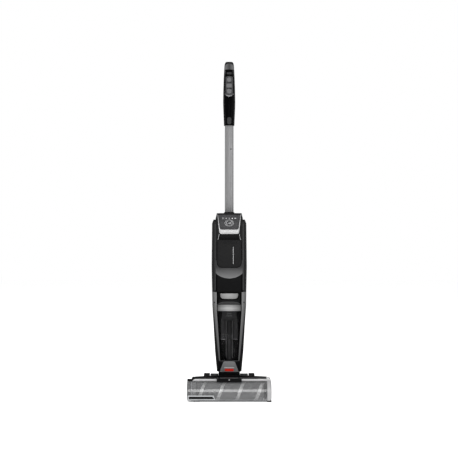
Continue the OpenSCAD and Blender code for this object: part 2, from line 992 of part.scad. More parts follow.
// Front outline of the tank's head: an arched shoulder below an upright block
module cap_outline() {
    arch_r = 132.5;
    block_half_w = 38;
    translate([0, lid_top_z + 12.5 - arch_r]) circle(arch_r, $fn = 180);
    translate([-block_half_w, lid_top_z]) square([2 * block_half_w, far]);
}

// Outline of the release pad, drawn out by g
module release_outline(g) {
    translate([0, release_z]) rounded(release_w + 2 * g, release_h + 2 * g, 6 + g);
}

// Silver pad that frees the dirty tank when it is pressed
module tank_release() color(silver)
    along_y(release_y[0], release_y[1] - release_y[0]) release_outline(0);

// Filter block under the lid
module tank_filter() color(slate) {
    low = [-24, air_y - 12, 262];
    high = [24, air_y + 12, 297];
    difference() {
        box(low, high);
        translate([0, air_y, low[2] - 1]) cylinder(h = high[2] - low[2] + 2, r = air_r - 0.5);
    }
}

// Pipe that brings the dirty water up inside the tank, with its foot
module intake_tube() color(charcoal) {
    pipe_h = 130;
    foot_r = 9.5;
    translate([0, pipe_y, tank_bottom_z + tank_wall]) difference() {
        union() {
            cylinder(h = pipe_h, r = pipe_r);
            cylinder(h = 5, r = foot_r);
        }
        translate([0, 0, -1]) cylinder(h = pipe_h + 2, r = pipe_r - 1.6);
    }
}

// Float that rides up the pipe and shuts the air path when the tank is full
module tank_float() color([0.75, 0.75, 0.75]) {
    float_h = 14;
    float_r = 11.5;
    translate([0, pipe_y, float_z]) difference() {
        cylinder(h = float_h, r = float_r);
        translate([0, 0, -1]) cylinder(h = float_h + 2, r = pipe_r + 0.5);
    }
}

// Clean water container, whose outer wall is the housing's back
module clean_tank() color(smoke) {
    fill_r = 12;
    lug = [2.5, 7, 5];
    lug_x = 8.5;
    difference() {
        intersection() {
            housing_form(0);
            behind(clean_front_y, clean_bottom_z, clean_top_z);
        }
        intersection() {
            housing_form(tank_wall);
            behind(clean_front_y + tank_wall, clean_bottom_z + tank_wall, clean_top_z - tank_wall);
        }
        translate([0, fill_cap_y - 27, fill_cap_z]) rotate([-90, 0, 0]) cylinder(h = 60, r = fill_r);
    }
    both_sides() difference() {
        translate([lug_x, fill_cap_y - 3, fill_hinge_z - lug[2] / 2]) cube(lug);
        bar_x(lug_x - 1, lug_x + lug[0] + 1, fill_hinge_y, fill_hinge_z, fill_pin_r + run_fit);
    }
}

// Hinged cap over the filling hole, with its plug, its tongue and its hinge bar
module clean_tank_cap() color(black) {
    plug_r = 10.5;
    cap_t = 3;
    tongue_half_w = 8;
    pin_half_w = 11;
    translate([0, fill_cap_y, fill_cap_z]) rotate([-90, 0, 0]) cylinder(h = cap_t, r = fill_cap_r);
    translate([0, fill_cap_y - 4, fill_cap_z]) rotate([-90, 0, 0]) cylinder(h = 5, r = plug_r);
    bar_x(-pin_half_w, pin_half_w, fill_hinge_y, fill_hinge_z, fill_pin_r);
    box([-tongue_half_w, fill_cap_y, fill_cap_z + 10], [tongue_half_w, fill_cap_y + cap_t, fill_hinge_z]);
}

// ---- Wand and grip ----

// Metal tube between housing and grip
module wand_tube() color([0.55, 0.55, 0.56])
    translate([0, tube_y, tube_bottom_z]) difference() {
        cylinder(h = tube_top_z - tube_bottom_z, r = tube_r);
        translate([0, 0, -1]) cylinder(h = tube_top_z - tube_bottom_z + 2, r = tube_r - tube_wall);
    }

// Whole grip as one closed form, drawn in by g
module grip_form(g) {
    hull() {
        for (i = [0 : len(grip_stations) - 1]) {
            s = grip_stations[i];
            shift = i == 0 ? g : i == len(grip_stations) - 1 ? -g : 0;
            translate([0, s[3], s[0] + shift]) linear_extrude(slab_t)
                scale([s[1] - g, s[2] - g]) circle(1, $fn = 48);
        }
    }
}

// Shell of the grip with the socket for the wand
module grip_shell() {
    difference() {
        grip_form(0);
        difference() {
            grip_form(wall);
            translate([0, tube_y, grip_bottom_z])
                cylinder(h = tube_top_z + 3 - grip_bottom_z, r = tube_r + 2);
        }
        translate([0, tube_y, grip_bottom_z - 1])
            cylinder(h = tube_top_z + 1 - grip_bottom_z, r = tube_r + 0.1);
        translate([0, tube_y, tube_top_z - 1]) cylinder(h = 20, r = tube_r - 4);
    }
}

// Front half of the grip, cut out for the control panel
module grip_front() color(black)
    difference() {
        intersection() {
            grip_shell();
            front_of(grip_split_y, grip_bottom_z - 1, grip_cap_z);
        }
        along_y(-40, 75) panel_outline(0);
    }

// Rear half of the grip
module grip_rear() color(black)
    intersection() {
        grip_shell();
        behind(grip_split_y, grip_bottom_z - 1, grip_cap_z);
    }

// Round top of the grip
module grip_top_cap() color(slate)
    intersection() {
        grip_shell();
        behind(-far, grip_cap_z, far * 3);
    }

// Outline of the control panel with its round foot
module panel_outline(g) {
    h = panel_top_z - panel_bottom_z;
    translate([0, panel_bottom_z + h / 2]) rounded(2 * (panel_half_w + g), h + 2 * g, 9);
}

// Outlines of the three buttons, drawn out by g
module power_outline(g) translate([0, power_z]) circle(7.5 + g);

module mode_outline(g) translate([0, mode_z]) rounded(18 + 2 * g, 13 + 2 * g, 3);

module spray_outline(g) {
    r = 8 + g;
    translate([0, spray_z + 1]) {
        circle(r);
        translate([-r, 0]) square([2 * r, 6 + g]);
    }
}

// Insert that frames the buttons
module control_panel() color(charcoal)
    difference() {
        intersection() {
            grip_form(0.4);
            front_of(grip_split_y - 6, 0, far * 3);
            along_y(-40, 75) panel_outline(-0.1);
        }
        grip_form(wall);
        along_y(-40, 100) {
            power_outline(gap);
            mode_outline(gap);
            spray_outline(gap);
        }
    }

// A button is the slice of the grip's front inside its outline
module button() {
    intersection() {
        difference() {
            grip_form(-button_proud);
            grip_form(wall + 0.8);
        }
        along_y(-40, 75) children();
    }
}

module power_button() color(silver) button() power_outline(0);

module mode_button() color(slate) button() mode_outline(0);

module spray_button() color(slate) button() spray_outline(0);

head_chassis();
head_top_cover();
end_cap_left();
end_cap_right();
brush_motor();
drive_belt();
squeegee_blade();
spray_bar();
suction_nozzle();
front_skids();
hinge_pins();
head_screws();
window_latch();
window_cover();
window_trim();
roller_core();
roller_sleeve();
roller_end_plug();
roller_pulley();
motor_pulley();
wheel_hub_left();
wheel_tyre_left();
wheel_hub_right();
wheel_tyre_right();
neck_yoke();
neck_hose();
swivel_socket();
spine();
tank_frame();
badge_plate();
front_frame();
rear_housing();
tube_collar();
display_panel();
display_bezel();
accent_panel();
motor_shroud();
suction_motor();
battery_pack();
control_board();
water_pump();
wand_tube();
front_cover();
fan_impeller();
dirty_tank();
dirty_tank_lid();
tank_cap();
tank_filter();
intake_tube();
tank_float();
tank_release();
clean_tank();
clean_tank_cap();
grip_front();
grip_rear();
grip_top_cap();
control_panel();
power_button();
mode_button();
spray_button();
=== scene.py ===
import json
import math

import bmesh
import bpy
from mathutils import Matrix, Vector, noise
from mathutils.bvhtree import BVHTree
from mathutils.geometry import convex_hull_2d, delaunay_2d_cdt


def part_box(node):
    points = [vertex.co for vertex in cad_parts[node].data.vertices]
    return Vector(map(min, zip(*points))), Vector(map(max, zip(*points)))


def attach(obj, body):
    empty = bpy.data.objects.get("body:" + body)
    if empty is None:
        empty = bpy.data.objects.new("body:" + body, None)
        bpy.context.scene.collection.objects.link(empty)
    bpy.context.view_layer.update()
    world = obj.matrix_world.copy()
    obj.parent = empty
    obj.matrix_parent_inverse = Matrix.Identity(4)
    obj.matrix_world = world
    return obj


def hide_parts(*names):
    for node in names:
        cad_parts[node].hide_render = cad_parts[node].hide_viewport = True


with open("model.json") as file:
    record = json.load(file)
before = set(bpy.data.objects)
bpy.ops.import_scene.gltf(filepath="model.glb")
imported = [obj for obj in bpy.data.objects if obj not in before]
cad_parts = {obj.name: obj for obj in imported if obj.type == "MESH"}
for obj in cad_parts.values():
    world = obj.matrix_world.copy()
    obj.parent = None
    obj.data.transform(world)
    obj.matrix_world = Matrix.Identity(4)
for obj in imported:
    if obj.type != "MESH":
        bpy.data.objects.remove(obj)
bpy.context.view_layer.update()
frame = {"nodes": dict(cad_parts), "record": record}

NODES = frame["nodes"]
MM = 0.001                   # one millimetre in metres; the builders take millimetres

# ---- Camera, light and floor ----

CAMERA_DISTANCE = 3.5
CAMERA_HEIGHT = 0.552
CAMERA_X = -0.0007
FRAME_WIDTH = 1.506          # width of the picture at the wand, in metres
SENSOR = 36.0                # width of the camera's sensor, in millimetres
AIM = Vector((0, 0, 0.45))   # the place that the lights point at
WORLD_LIGHT = 0.3            # the surround as a light, and as the camera sees it
FLOOR_GLOW = 0.7             # keeps the floor white as far as it goes
BACKDROP = 1.0


def make_camera():
    """A level camera straight in front of the object, at about half its height."""
    data = bpy.data.cameras.new("camera")
    data.sensor_width = SENSOR
    data.lens = SENSOR * CAMERA_DISTANCE / FRAME_WIDTH
    camera = bpy.data.objects.new("camera", data)
    camera.location = (CAMERA_X, -CAMERA_DISTANCE, CAMERA_HEIGHT)
    camera.rotation_euler = (math.pi / 2, 0, 0)
    bpy.context.scene.collection.objects.link(camera)
    bpy.context.scene.camera = camera


def area_light(name, location, size, power, reflected=False):
    """A soft box, (width, height), that points at the middle of the object."""
    data = bpy.data.lights.new(name, "AREA")
    data.shape = "RECTANGLE"
    data.size, data.size_y = size
    data.energy = power
    light = bpy.data.objects.new(name, data)
    light.location = location
    light.rotation_euler = (AIM - Vector(location)).to_track_quat("-Z", "Y").to_euler()
    light.visible_glossy = reflected
    bpy.context.scene.collection.objects.link(light)


def make_world():
    """An even white surround that looks brighter to the camera than it lights the object."""
    world = bpy.data.worlds.new("studio")
    bpy.context.scene.world = world
    world.use_nodes = True
    tree = world.node_tree
    rays = tree.nodes.new("ShaderNodeLightPath")
    strength = tree.nodes.new("ShaderNodeMix")
    strength.inputs["A"].default_value = WORLD_LIGHT
    strength.inputs["B"].default_value = BACKDROP
    tree.links.new(rays.outputs["Is Camera Ray"], strength.inputs["Factor"])
    background = tree.nodes["Background"]
    background.inputs["Color"].default_value = (1, 1, 1, 1)
    tree.links.new(strength.outputs["Result"], background.inputs["Strength"])


def make_studio():
    """A floor that reflections leave out, a white surround and soft boxes, the weak ones reflected."""
    bpy.context.scene.view_settings.view_transform = "Standard"
    make_world()
    area_light("front_fill", (0.3, -3.4, 1.9), (2.6, 1.2), 46)
    area_light("front_box", (0, -3.7, 1.05), (0.75, 1.7), 7.5, True)
    area_light("left_fill", (-2.8, -1.2, 1.1), (0.8, 2.0), 16)
    area_light("right_box", (2.6, -1.6, 0.9), (0.5, 2.0), 9, True)
    area_light("top_fill", (0, -0.3, 2.9), (2.0, 2.0), 24)
    area_light("rear_box", (0.4, 3.0, 1.3), (2.4, 1.4), 14, True)
    bpy.ops.mesh.primitive_plane_add(size=16, location=(0, 0, 0))
    floor = bpy.context.object
    floor.name = "floor"
    floor.data.materials.append(floor_material())
    floor.visible_glossy = False


# ---- Materials ----

class Surface:
    """A principled material with the nodes that the recipes below share."""

    def __init__(self, name, color, roughness, metallic=0.0, specular=0.5, **sockets):
        self.material = bpy.data.materials.new(name)
        self.material.use_nodes = True
        self.tree = self.material.node_tree
        self.shader = self.tree.nodes["Principled BSDF"]
        self.shader.inputs["Base Color"].default_value = (*color, 1)
        self.shader.inputs["Roughness"].default_value = roughness
        self.shader.inputs["Metallic"].default_value = metallic
        self.shader.inputs["Specular IOR Level"].default_value = specular
        for socket, value in sockets.items():
            self.shader.inputs[socket.replace("_", " ")].default_value = value
        self.color = color
        self.roughness = roughness
        self.place = self.tree.nodes.new("ShaderNodeTexCoord").outputs["Object"]

    def node(self, kind, **inputs):
        """A new node with its inputs set to values or linked to outputs."""
        made = self.tree.nodes.new(kind)
        for key, value in inputs.items():
            self.feed(made.inputs[key.replace("_", " ")], value)
        return made

    def feed(self, socket, value):
        if isinstance(value, bpy.types.NodeSocket):
            self.tree.links.new(value, socket)
        else:
            socket.default_value = value

    def math(self, operation, a, b=0.0):
        """One step of arithmetic on two values or outputs."""
        made = self.tree.nodes.new("ShaderNodeMath")
        made.operation = operation
        self.feed(made.inputs[0], a)
        self.feed(made.inputs[1], b)
        return made.outputs[0]

    def noise(self, scale, detail=3.0, stretch=(1, 1, 1)):
        """Noise in object space, with features of about 1 / scale metres."""
        mapping = self.node("ShaderNodeMapping", Vector=self.place, Scale=stretch)
        made = self.node("ShaderNodeTexNoise", Vector=mapping.outputs[0], Scale=scale, Detail=detail)
        return made.outputs["Fac"]

    def spread(self, value, low, high, start=0.3, end=0.7):
        """Maps a factor from start..end to low..high."""
        made = self.node("ShaderNodeMapRange", Value=value, From_Min=start, From_Max=end,
                         To_Min=low, To_Max=high)
        return made.outputs["Result"]

    def vary_color(self, factor, amount):
        """Darkens and lightens the base colour by a share of itself."""
        low = (*(c * (1 - amount) for c in self.color), 1)
        high = (*(min(1, c * (1 + amount)) for c in self.color), 1)
        self.blend(factor, low, high)

    def blend(self, factor, low, high):
        """Mixes two colours into the base colour."""
        mix = self.tree.nodes.new("ShaderNodeMix")
        mix.data_type = "RGBA"
        self.feed(mix.inputs[0], factor)
        self.feed(mix.inputs[6], low)
        self.feed(mix.inputs[7], high)
        self.tree.links.new(mix.outputs[2], self.shader.inputs["Base Color"])
        return mix.outputs[2]

    def vary_roughness(self, factor, amount):
        value = self.spread(factor, max(0.02, self.roughness - amount), min(1, self.roughness + amount))
        self.tree.links.new(value, self.shader.inputs["Roughness"])

    def bump(self, height, strength, distance):
        made = self.node("ShaderNodeBump", Height=height, Strength=strength, Distance=distance)
        self.tree.links.new(made.outputs[0], self.shader.inputs["Normal"])

    def moulded(self, grain):
        """Adds the slight gloss changes and fine spark texture of a moulding, and gives the material."""
        self.vary_roughness(self.noise(60, 5), 0.06)
        self.bump(self.noise(1400, 2), grain, 0.00015)
        return self.material


def floor_material():
    s = Surface("floor_white", (0.95, 0.95, 0.95), 0.8, specular=0.2, Emission_Color=(1, 1, 1, 1),
                Emission_Strength=FLOOR_GLOW)
    s.vary_color(s.noise(3), 0.01)
    return s.material


def moulded_plastic(name, color, roughness, grain=0.25, specular=0.5):
    """Injection-moulded plastic: a fine spark texture, faint flow marks and slight gloss changes."""
    s = Surface(name, color, roughness, specular=specular)
    s.vary_color(s.noise(35, 4), 0.07)
    return s.moulded(grain)


def gloss_plastic(name, color, roughness, specular=0.5):
    """Polished plastic with slow ripples and fine handling marks in its gloss."""
    s = Surface(name, color, roughness, specular=specular)
    s.vary_color(s.noise(20, 3), 0.05)
    s.vary_roughness(s.noise(90, 6), 0.05)
    s.bump(s.noise(55, 2), 0.05, 0.0004)
    return s.material


def metallic_paint(name, color, roughness, metallic):
    """Satin silver paint with fine metal flake."""
    s = Surface(name, color, roughness, metallic, specular=0.3)
    flake = s.noise(2600, 1)
    s.vary_color(flake, 0.12)
    s.vary_roughness(s.noise(80, 4), 0.06)
    s.bump(flake, 0.08, 0.0001)
    return s.material


def brushed_metal(name, color, roughness, along=(60, 60, 1.2), metallic=1.0):
    """Metal with fine drawing lines along one direction."""
    s = Surface(name, color, roughness, metallic)
    lines = s.noise(22, 6, along)
    s.vary_color(lines, 0.1)
    s.vary_roughness(lines, 0.1)
    s.bump(lines, 0.06, 0.0001)
    return s.material


def clear_plastic(name, color, alpha_face, alpha_edge, roughness, specular, ior):
    """Transparent moulding that looks denser where it is seen edge on."""
    s = Surface(name, color, roughness, specular=specular, IOR=ior)
    facing = s.node("ShaderNodeLayerWeight", Blend=0.35).outputs["Facing"]
    s.tree.links.new(s.spread(facing, alpha_face, alpha_edge, 0.0, 1.0), s.shader.inputs["Alpha"])
    s.vary_color(s.noise(25, 3), 0.06)
    s.vary_roughness(s.noise(120, 5), 0.02)
    s.bump(s.noise(40, 2), 0.04, 0.0004)
    return s.material


def rubber(name, color, roughness=0.7):
    """Matt rubber with a dusty, slightly uneven skin."""
    s = Surface(name, color, roughness)
    s.vary_color(s.noise(50, 5), 0.15)
    s.vary_roughness(s.noise(140, 4), 0.08)
    s.bump(s.noise(900, 3), 0.35, 0.0002)
    return s.material


def pile_fabric(name, color):
    """Dense short pile: clumps of fibres with shadow between them."""
    s = Surface(name, color, 0.95, Sheen_Weight=0.4, Sheen_Roughness=0.5)
    clumps = s.noise(420, 4)
    patches = s.noise(120, 3)
    both = s.math("MULTIPLY", s.math("ADD", clumps, patches), 0.5)
    s.vary_color(s.spread(both, 0.0, 1.0, 0.36, 0.64), 0.5)
    s.bump(clumps, 0.9, 0.0012)
    return s.material


def speckled_face(name, color):
    """Dark display face with fine pale speckles under a clear cover."""
    s = Surface(name, color, 0.4, specular=0.25)
    dots = s.node("ShaderNodeTexVoronoi", Vector=s.place, Scale=480.0).outputs["Distance"]
    mask = s.spread(dots, 1.0, 0.0, 0.18, 0.34)
    pale = (*(min(1, c * 2.4) for c in color), 1)
    s.blend(mask, (*color, 1), pale)
    s.vary_roughness(s.noise(90, 4), 0.04)
    return s.material


def highlight_graded_plastic(name, low_color, high_color, low_z, high_z, roughness):
    """Plastic with painted light that goes from one grey at low_z to another at high_z, both in millimetres.
    """
    s = Surface(name, high_color, roughness, specular=0.2)
    height = s.node("ShaderNodeSeparateXYZ", Vector=s.place).outputs["Z"]
    cloud = s.math("MULTIPLY", s.noise(70, 4), 4 * MM)
    painted_highlight_share = s.spread(s.math("ADD", height, cloud), 0.0, 1.0, low_z * MM, high_z * MM)
    s.blend(painted_highlight_share, (*low_color, 1), (*high_color, 1))
    return s.moulded(0.15)


EDGE_SLOPE = 0.1065          # the dark edge of each strut starts at this share of the height,
EDGE_START = 0.0216          # plus this much, from the middle
PAINTED_SHADE_WIDTH = 0.011          # painted shade darkens the strut over this width before its dark edge
PAINTED_SHADE = 0.42                 # down to this share of its grey
FOOT_DARK = 0.116            # the struts are all dark below this height, in metres,
FOOT_GREY = 0.119            # and have their own colours above this one


def strut_plastic(name, grey, dark, roughness):
    """Two-tone frame: grey struts with a dark outer edge that widens downwards, and a dark foot; painted
    shade darkens each strut towards its dark edge.
    """
    s = Surface(name, grey, roughness, specular=0.08)
    split = s.node("ShaderNodeSeparateXYZ", Vector=s.place)
    side = s.math("ABSOLUTE", split.outputs["X"])
    height = split.outputs["Z"]
    edge = s.math("ADD", s.math("MULTIPLY", height, EDGE_SLOPE), EDGE_START)
    past = s.math("SUBTRACT", side, edge)
    outer = s.spread(past, 0.0, 1.0, -0.0004, 0.0006)
    foot = s.spread(height, 1.0, 0.0, FOOT_DARK, FOOT_GREY)
    mask = s.math("MAXIMUM", outer, foot)
    # painted shade: the grey darkens towards the strut's dark outer edge
    painted_shade = (*(c * PAINTED_SHADE for c in grey), 1)
    face = s.blend(s.spread(past, 0.0, 1.0, -PAINTED_SHADE_WIDTH, 0.0), (*grey, 1), painted_shade)
    s.blend(mask, face, (*dark, 1))
    return s.moulded(0.15)


def silver_with_painted_highlight(name, middle, side, start, end):
    """Silver paint on a curved band with a painted highlight: bright in its middle, darker from start to end
    metres off it.
    """
    s = Surface(name, (middle, middle, middle), 0.36, 0.4, specular=0.3)
    across = s.math("ABSOLUTE", s.node("ShaderNodeSeparateXYZ", Vector=s.place).outputs["X"])
    fall = s.spread(across, 0.0, 1.0, start, end)
    s.blend(fall, (middle, middle, middle, 1), (side, side, side, 1))
    flake = s.noise(2600, 1)
    s.vary_roughness(s.noise(80, 4), 0.06)
    s.bump(flake, 0.08, 0.0001)
    return s.material


RIM_HALF_WIDTH = 0.0165      # half width of the grey face inside the cap's black rim, in metres
RIM_START = 1.079            # height at which the face starts to arch
RIM_RISE = 0.0225            # height of its arch
RIM_POWER = 2.5              # how square the arch is


def rimmed_plastic(name, grey, dark, roughness):
    """The grip's cap: a grey face with painted shade that darkens its middle, inside a black rim over its
    top.
    """
    s = Surface(name, grey, roughness, specular=0.25)
    split = s.node("ShaderNodeSeparateXYZ", Vector=s.place)
    side = s.math("DIVIDE", s.math("ABSOLUTE", split.outputs["X"]), RIM_HALF_WIDTH)
    above = s.math("MAXIMUM", s.math("SUBTRACT", split.outputs["Z"], RIM_START), 0.0)
    rise = s.math("DIVIDE", above, RIM_RISE)
    fade_in = s.math("MINIMUM", s.math("MULTIPLY", rise, 4.0), 1.0)
    across = s.math("MULTIPLY", s.math("POWER", side, RIM_POWER), fade_in)
    rim = s.spread(s.math("ADD", across, s.math("POWER", rise, RIM_POWER)), 0.0, 1.0, 0.92, 1.08)
    # painted shade: the face darkens towards its middle and stays lighter at its sides
    painted_shade = s.spread(side, 0.3, 1.0, 0.0, 0.7)
    middle = s.blend(painted_shade, (*dark, 1), (*grey, 1))
    s.blend(rim, middle, (*dark, 1))
    return s.moulded(0.15)


MATERIALS = {
    "black_plastic": moulded_plastic("black_plastic", (0.0045, 0.0045, 0.005), 0.42, specular=0.15),
    "charcoal_plastic": moulded_plastic("charcoal_plastic", (0.0115, 0.0115, 0.012), 0.45, specular=0.18),
    "grey_plastic": moulded_plastic("grey_plastic", (0.13, 0.13, 0.133), 0.38, 0.15, specular=0.3),
    "silver_trim": metallic_paint("silver_trim", (0.62, 0.62, 0.625), 0.34, 0.4),
    "clear_window": clear_plastic("clear_window", (0.26, 0.265, 0.27), 0.23, 0.8, 0.15, 1.0, 2.8),
    "smoke_tank": clear_plastic("smoke_tank", (0.004, 0.004, 0.0045), 0.2, 0.95, 0.14, 0.35, 1.5),
    "wand_metal": brushed_metal("wand_metal", (0.36, 0.36, 0.365), 0.42, metallic=0.55),
    "steel": brushed_metal("steel", (0.5, 0.5, 0.5), 0.3, (1.2, 60, 60)),
    "motor_casing": brushed_metal("motor_casing", (0.25, 0.25, 0.26), 0.45, (1.2, 60, 60)),
    "roller_pile": pile_fabric("roller_pile", (0.18, 0.18, 0.184)),
    "inner_plastic": moulded_plastic("inner_plastic", (0.075, 0.075, 0.077), 0.5, specular=0.3),
    "black_rubber": rubber("black_rubber", (0.006, 0.006, 0.006)),
    "tyre_rubber": rubber("tyre_rubber", (0.007, 0.007, 0.007), 0.8),
    "display_face": speckled_face("display_face", (0.045, 0.045, 0.047)),
    "grip_black": gloss_plastic("grip_black", (0.0012, 0.0012, 0.0014), 0.28, specular=0.06),
    "battery_case": moulded_plastic("battery_case", (0.02, 0.04, 0.09), 0.5),
    "circuit_board": gloss_plastic("circuit_board", (0.01, 0.09, 0.035), 0.35),
}
# painted highlight: the accent panel is lighter low down, on the curved lip below the front cover, and darker
# higher up
ACCENT_GREY = highlight_graded_plastic("accent_grey", (0.17, 0.17, 0.173), (0.035, 0.035, 0.036), 392, 428, 0.4)
# two-tone paint on the struts, with painted shade towards their outer edges
STRUT_TWO_TONE_AND_SHADE = strut_plastic("strut_two_tone_and_shade", (0.17, 0.17, 0.172), (0.005, 0.005, 0.0055), 0.4)
# two-tone cap with a black rim, and painted shade in the middle of its face
CAP_TWO_TONE_AND_SHADE = rimmed_plastic("cap_two_tone_and_shade", (0.13, 0.13, 0.133), (0.004, 0.004, 0.0045), 0.4)
BADGE_GREY = moulded_plastic("badge_grey", (0.19, 0.19, 0.193), 0.42, 0.15)
BADGE_RED = gloss_plastic("badge_red", (0.72, 0.025, 0.014), 0.35, specular=0.3)
PRINT_WHITE = moulded_plastic("print_white", (0.6, 0.6, 0.61), 0.4, 0.1)
RAIL_GREY = moulded_plastic("rail_grey", (0.034, 0.034, 0.035), 0.42, specular=0.2)
SEAM_GREY = moulded_plastic("seam_grey", (0.03, 0.03, 0.031), 0.45, specular=0.15)
PANEL_GREY = moulded_plastic("panel_grey", (0.055, 0.055, 0.057), 0.4, specular=0.25)
BUTTON_GREY = moulded_plastic("button_grey", (0.13, 0.13, 0.133), 0.4, specular=0.3)
HEAD_BLACK = moulded_plastic("head_black", (0.006, 0.006, 0.0065), 0.6, specular=0.03)
CAP_SILVER = metallic_paint("cap_silver", (0.55, 0.55, 0.555), 0.32, 0.4)
# painted highlight: the lid band and the release pad are bright down their middle and darker at their sides
LID_SILVER = silver_with_painted_highlight("lid_silver", 0.42, 0.12, 0.008, 0.04)
PAD_SILVER = silver_with_painted_highlight("pad_silver", 0.35, 0.2, 0.008, 0.034)
ARC_GREY = moulded_plastic("arc_grey", (0.26, 0.26, 0.265), 0.42, specular=0.25)
GUARD_GREY = moulded_plastic("guard_grey", (0.24, 0.24, 0.245), 0.5, 0.5)
CLEAN_SMOKE = clear_plastic("clean_smoke", (0.006, 0.006, 0.0065), 0.42, 0.97, 0.16, 0.35, 1.5)
STRIPE_PILE = pile_fabric("stripe_pile", (0.9, 0.9, 0.91))
FROSTED = gloss_plastic("frosted_edge", (0.42, 0.43, 0.44), 0.35)

# ---- Mesh builders: places and sizes in millimetres ----

SIDES = ((-1, "left"), (1, "right"))
MERGE_DISTANCE = 1e-6        # points nearer than this become one, in metres
SHARP_ANGLE = 40             # edges sharper than this stay sharp, in degrees


def finish_piece(name, points, faces, body, slot, paint=None):
    """A smooth-shaded mesh piece on a body, in the material of its record slot or in a paint of its own."""
    mesh = bpy.data.meshes.new(name)
    mesh.from_pydata([Vector(p) * MM for p in points], [], faces)
    form = bmesh.new()
    form.from_mesh(mesh)
    bmesh.ops.remove_doubles(form, verts=form.verts, dist=MERGE_DISTANCE)
    bmesh.ops.dissolve_degenerate(form, edges=form.edges, dist=MERGE_DISTANCE / 10)
    bmesh.ops.recalc_face_normals(form, faces=form.faces)
    form.to_mesh(mesh)
    form.free()
    mesh.polygons.foreach_set("use_smooth", [True] * len(mesh.polygons))
    mesh.set_sharp_from_angle(angle=math.radians(SHARP_ANGLE))
    mesh.materials.append(paint or MATERIALS[slot])
    piece = bpy.data.objects.new(name, mesh)
    bpy.context.scene.collection.objects.link(piece)
    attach(piece, body)
    return piece


def join_rings(rings, close_ends=True):
    """Points and faces of a skin through rings of equal length, each ring a closed loop."""
    count = len(rings[0])
    points = [p for ring in rings for p in ring]
    faces = []
    for k in range(len(rings) - 1):
        for i in range(count):
            j = (i + 1) % count
            faces.append((k * count + i, k * count + j, (k + 1) * count + j, (k + 1) * count + i))
    if close_ends:
        faces.append(tuple(range(count)))
        faces.append(tuple(reversed(range((len(rings) - 1) * count, len(rings) * count))))
    return points, faces


def spaced(start, end, parts):
    """Evenly spaced values from start to end, both included."""
    return [start + (end - start) * i / parts for i in range(parts + 1)]


def inset(outline, distance):
    """A closed outline (counterclockwise) moved inwards by a distance."""
    moved = []
    count = len(outline)
    for i, (u, v) in enumerate(outline):
        before = Vector(outline[i - 1])
        here = Vector((u, v))
        after = Vector(outline[(i + 1) % count])
        into = (here - before).normalized()
        out = (after - here).normalized()
        normal = Vector((-into.y - out.y, into.x + out.x))
        if normal.length < 1e-6:
            normal = Vector((-into.y, into.x))
        normal.normalize()
        lean = max(0.5, normal.dot(Vector((-into.y, into.x))))
        moved.append(tuple(here + normal * distance / lean))
    return moved


def dense(outline, step):
    """A closed outline with extra points so that no side is longer than a step."""
    points = []
    for i, start in enumerate(outline):
        end = outline[(i + 1) % len(outline)]
        parts = max(1, math.ceil(math.dist(start, end) / step))
        for k in range(parts):
            points.append((start[0] + (end[0] - start[0]) * k / parts,
                           start[1] + (end[1] - start[1]) * k / parts))
    return points


def open_dense(line, step):
    """An open line of points with extra ones so that no part is longer than a step."""
    return dense(line, step)[:-math.ceil(math.dist(line[-1], line[0]) / step) + 1]


def filled(outline, step):
    """Points and triangles that fill a closed outline on a grid of the given step."""
    low_u, low_v = (min(p[k] for p in outline) for k in (0, 1))
    high_u, high_v = (max(p[k] for p in outline) for k in (0, 1))
    points = [Vector(p) for p in outline]
    inner = inset(outline, 0.35 * step)
    for a in range(1, math.ceil((high_u - low_u) / step)):
        for b in range(1, math.ceil((high_v - low_v) / step)):
            spot = (low_u + a * step, low_v + b * step)
            if inside(spot, inner):
                points.append(Vector(spot))
    ring = list(range(len(outline)))
    edges = [(i, (i + 1) % len(outline)) for i in ring]
    made = delaunay_2d_cdt(points, edges, [ring], 1, 1e-6)
    return [tuple(p) for p in made[0]], [tuple(f) for f in made[2]]


def inside(spot, outline):
    """Whether a spot lies inside a closed outline."""
    u, v = spot
    crossings = 0
    for i, (u0, v0) in enumerate(outline):
        u1, v1 = outline[(i + 1) % len(outline)]
        if (v0 > v) != (v1 > v) and u < u0 + (v - v0) * (u1 - u0) / (v1 - v0):
            crossings += 1
    return crossings % 2 == 1


def round_edge(radius, angles):
    """How far a rounded edge has come in, and how far below its top it still is, at some angles."""
    turns = [math.radians(angle) for angle in angles]
    return [(radius * (1 - math.cos(a)), radius * (1 - math.sin(a))) for a in turns]


def plate(name, outline, place, heights, edge, body, slot, paint=None, step=4.0):
    """A plate over an outline: place(u, v, h) bends it, heights are its back and front, edge its rounding."""
    back, front = heights
    outline = dense(outline, step)
    profile = [(0, back), (0, front - edge)]
    profile += [(into, front - fall) for into, fall in round_edge(edge, (30, 60, 90))]
    rings = [[place(u, v, height) for u, v in inset(outline, distance)] for distance, height in profile]
    points, faces = join_rings(rings, close_ends=False)
    for shape, height, flip in ((outline, back, True), (inset(outline, edge), front, False)):
        flat, triangles = filled(shape, step)
        start = len(points)
        points.extend(place(u, v, height) for u, v in flat)
        for face in triangles:
            faces.append(tuple(start + i for i in (reversed(face) if flip else face)))
    return finish_piece(name, points, faces, body, slot, paint)


def circle_points(centre, radius, count, start=0.0, end=360.0):
    """Points along an arc, counterclockwise, without the last one when the arc is a whole turn."""
    steps = count if end - start >= 360 else count - 1
    turns = [math.radians(start + (end - start) * i / steps) for i in range(count)]
    return [(centre[0] + radius * math.cos(a), centre[1] + radius * math.sin(a)) for a in turns]


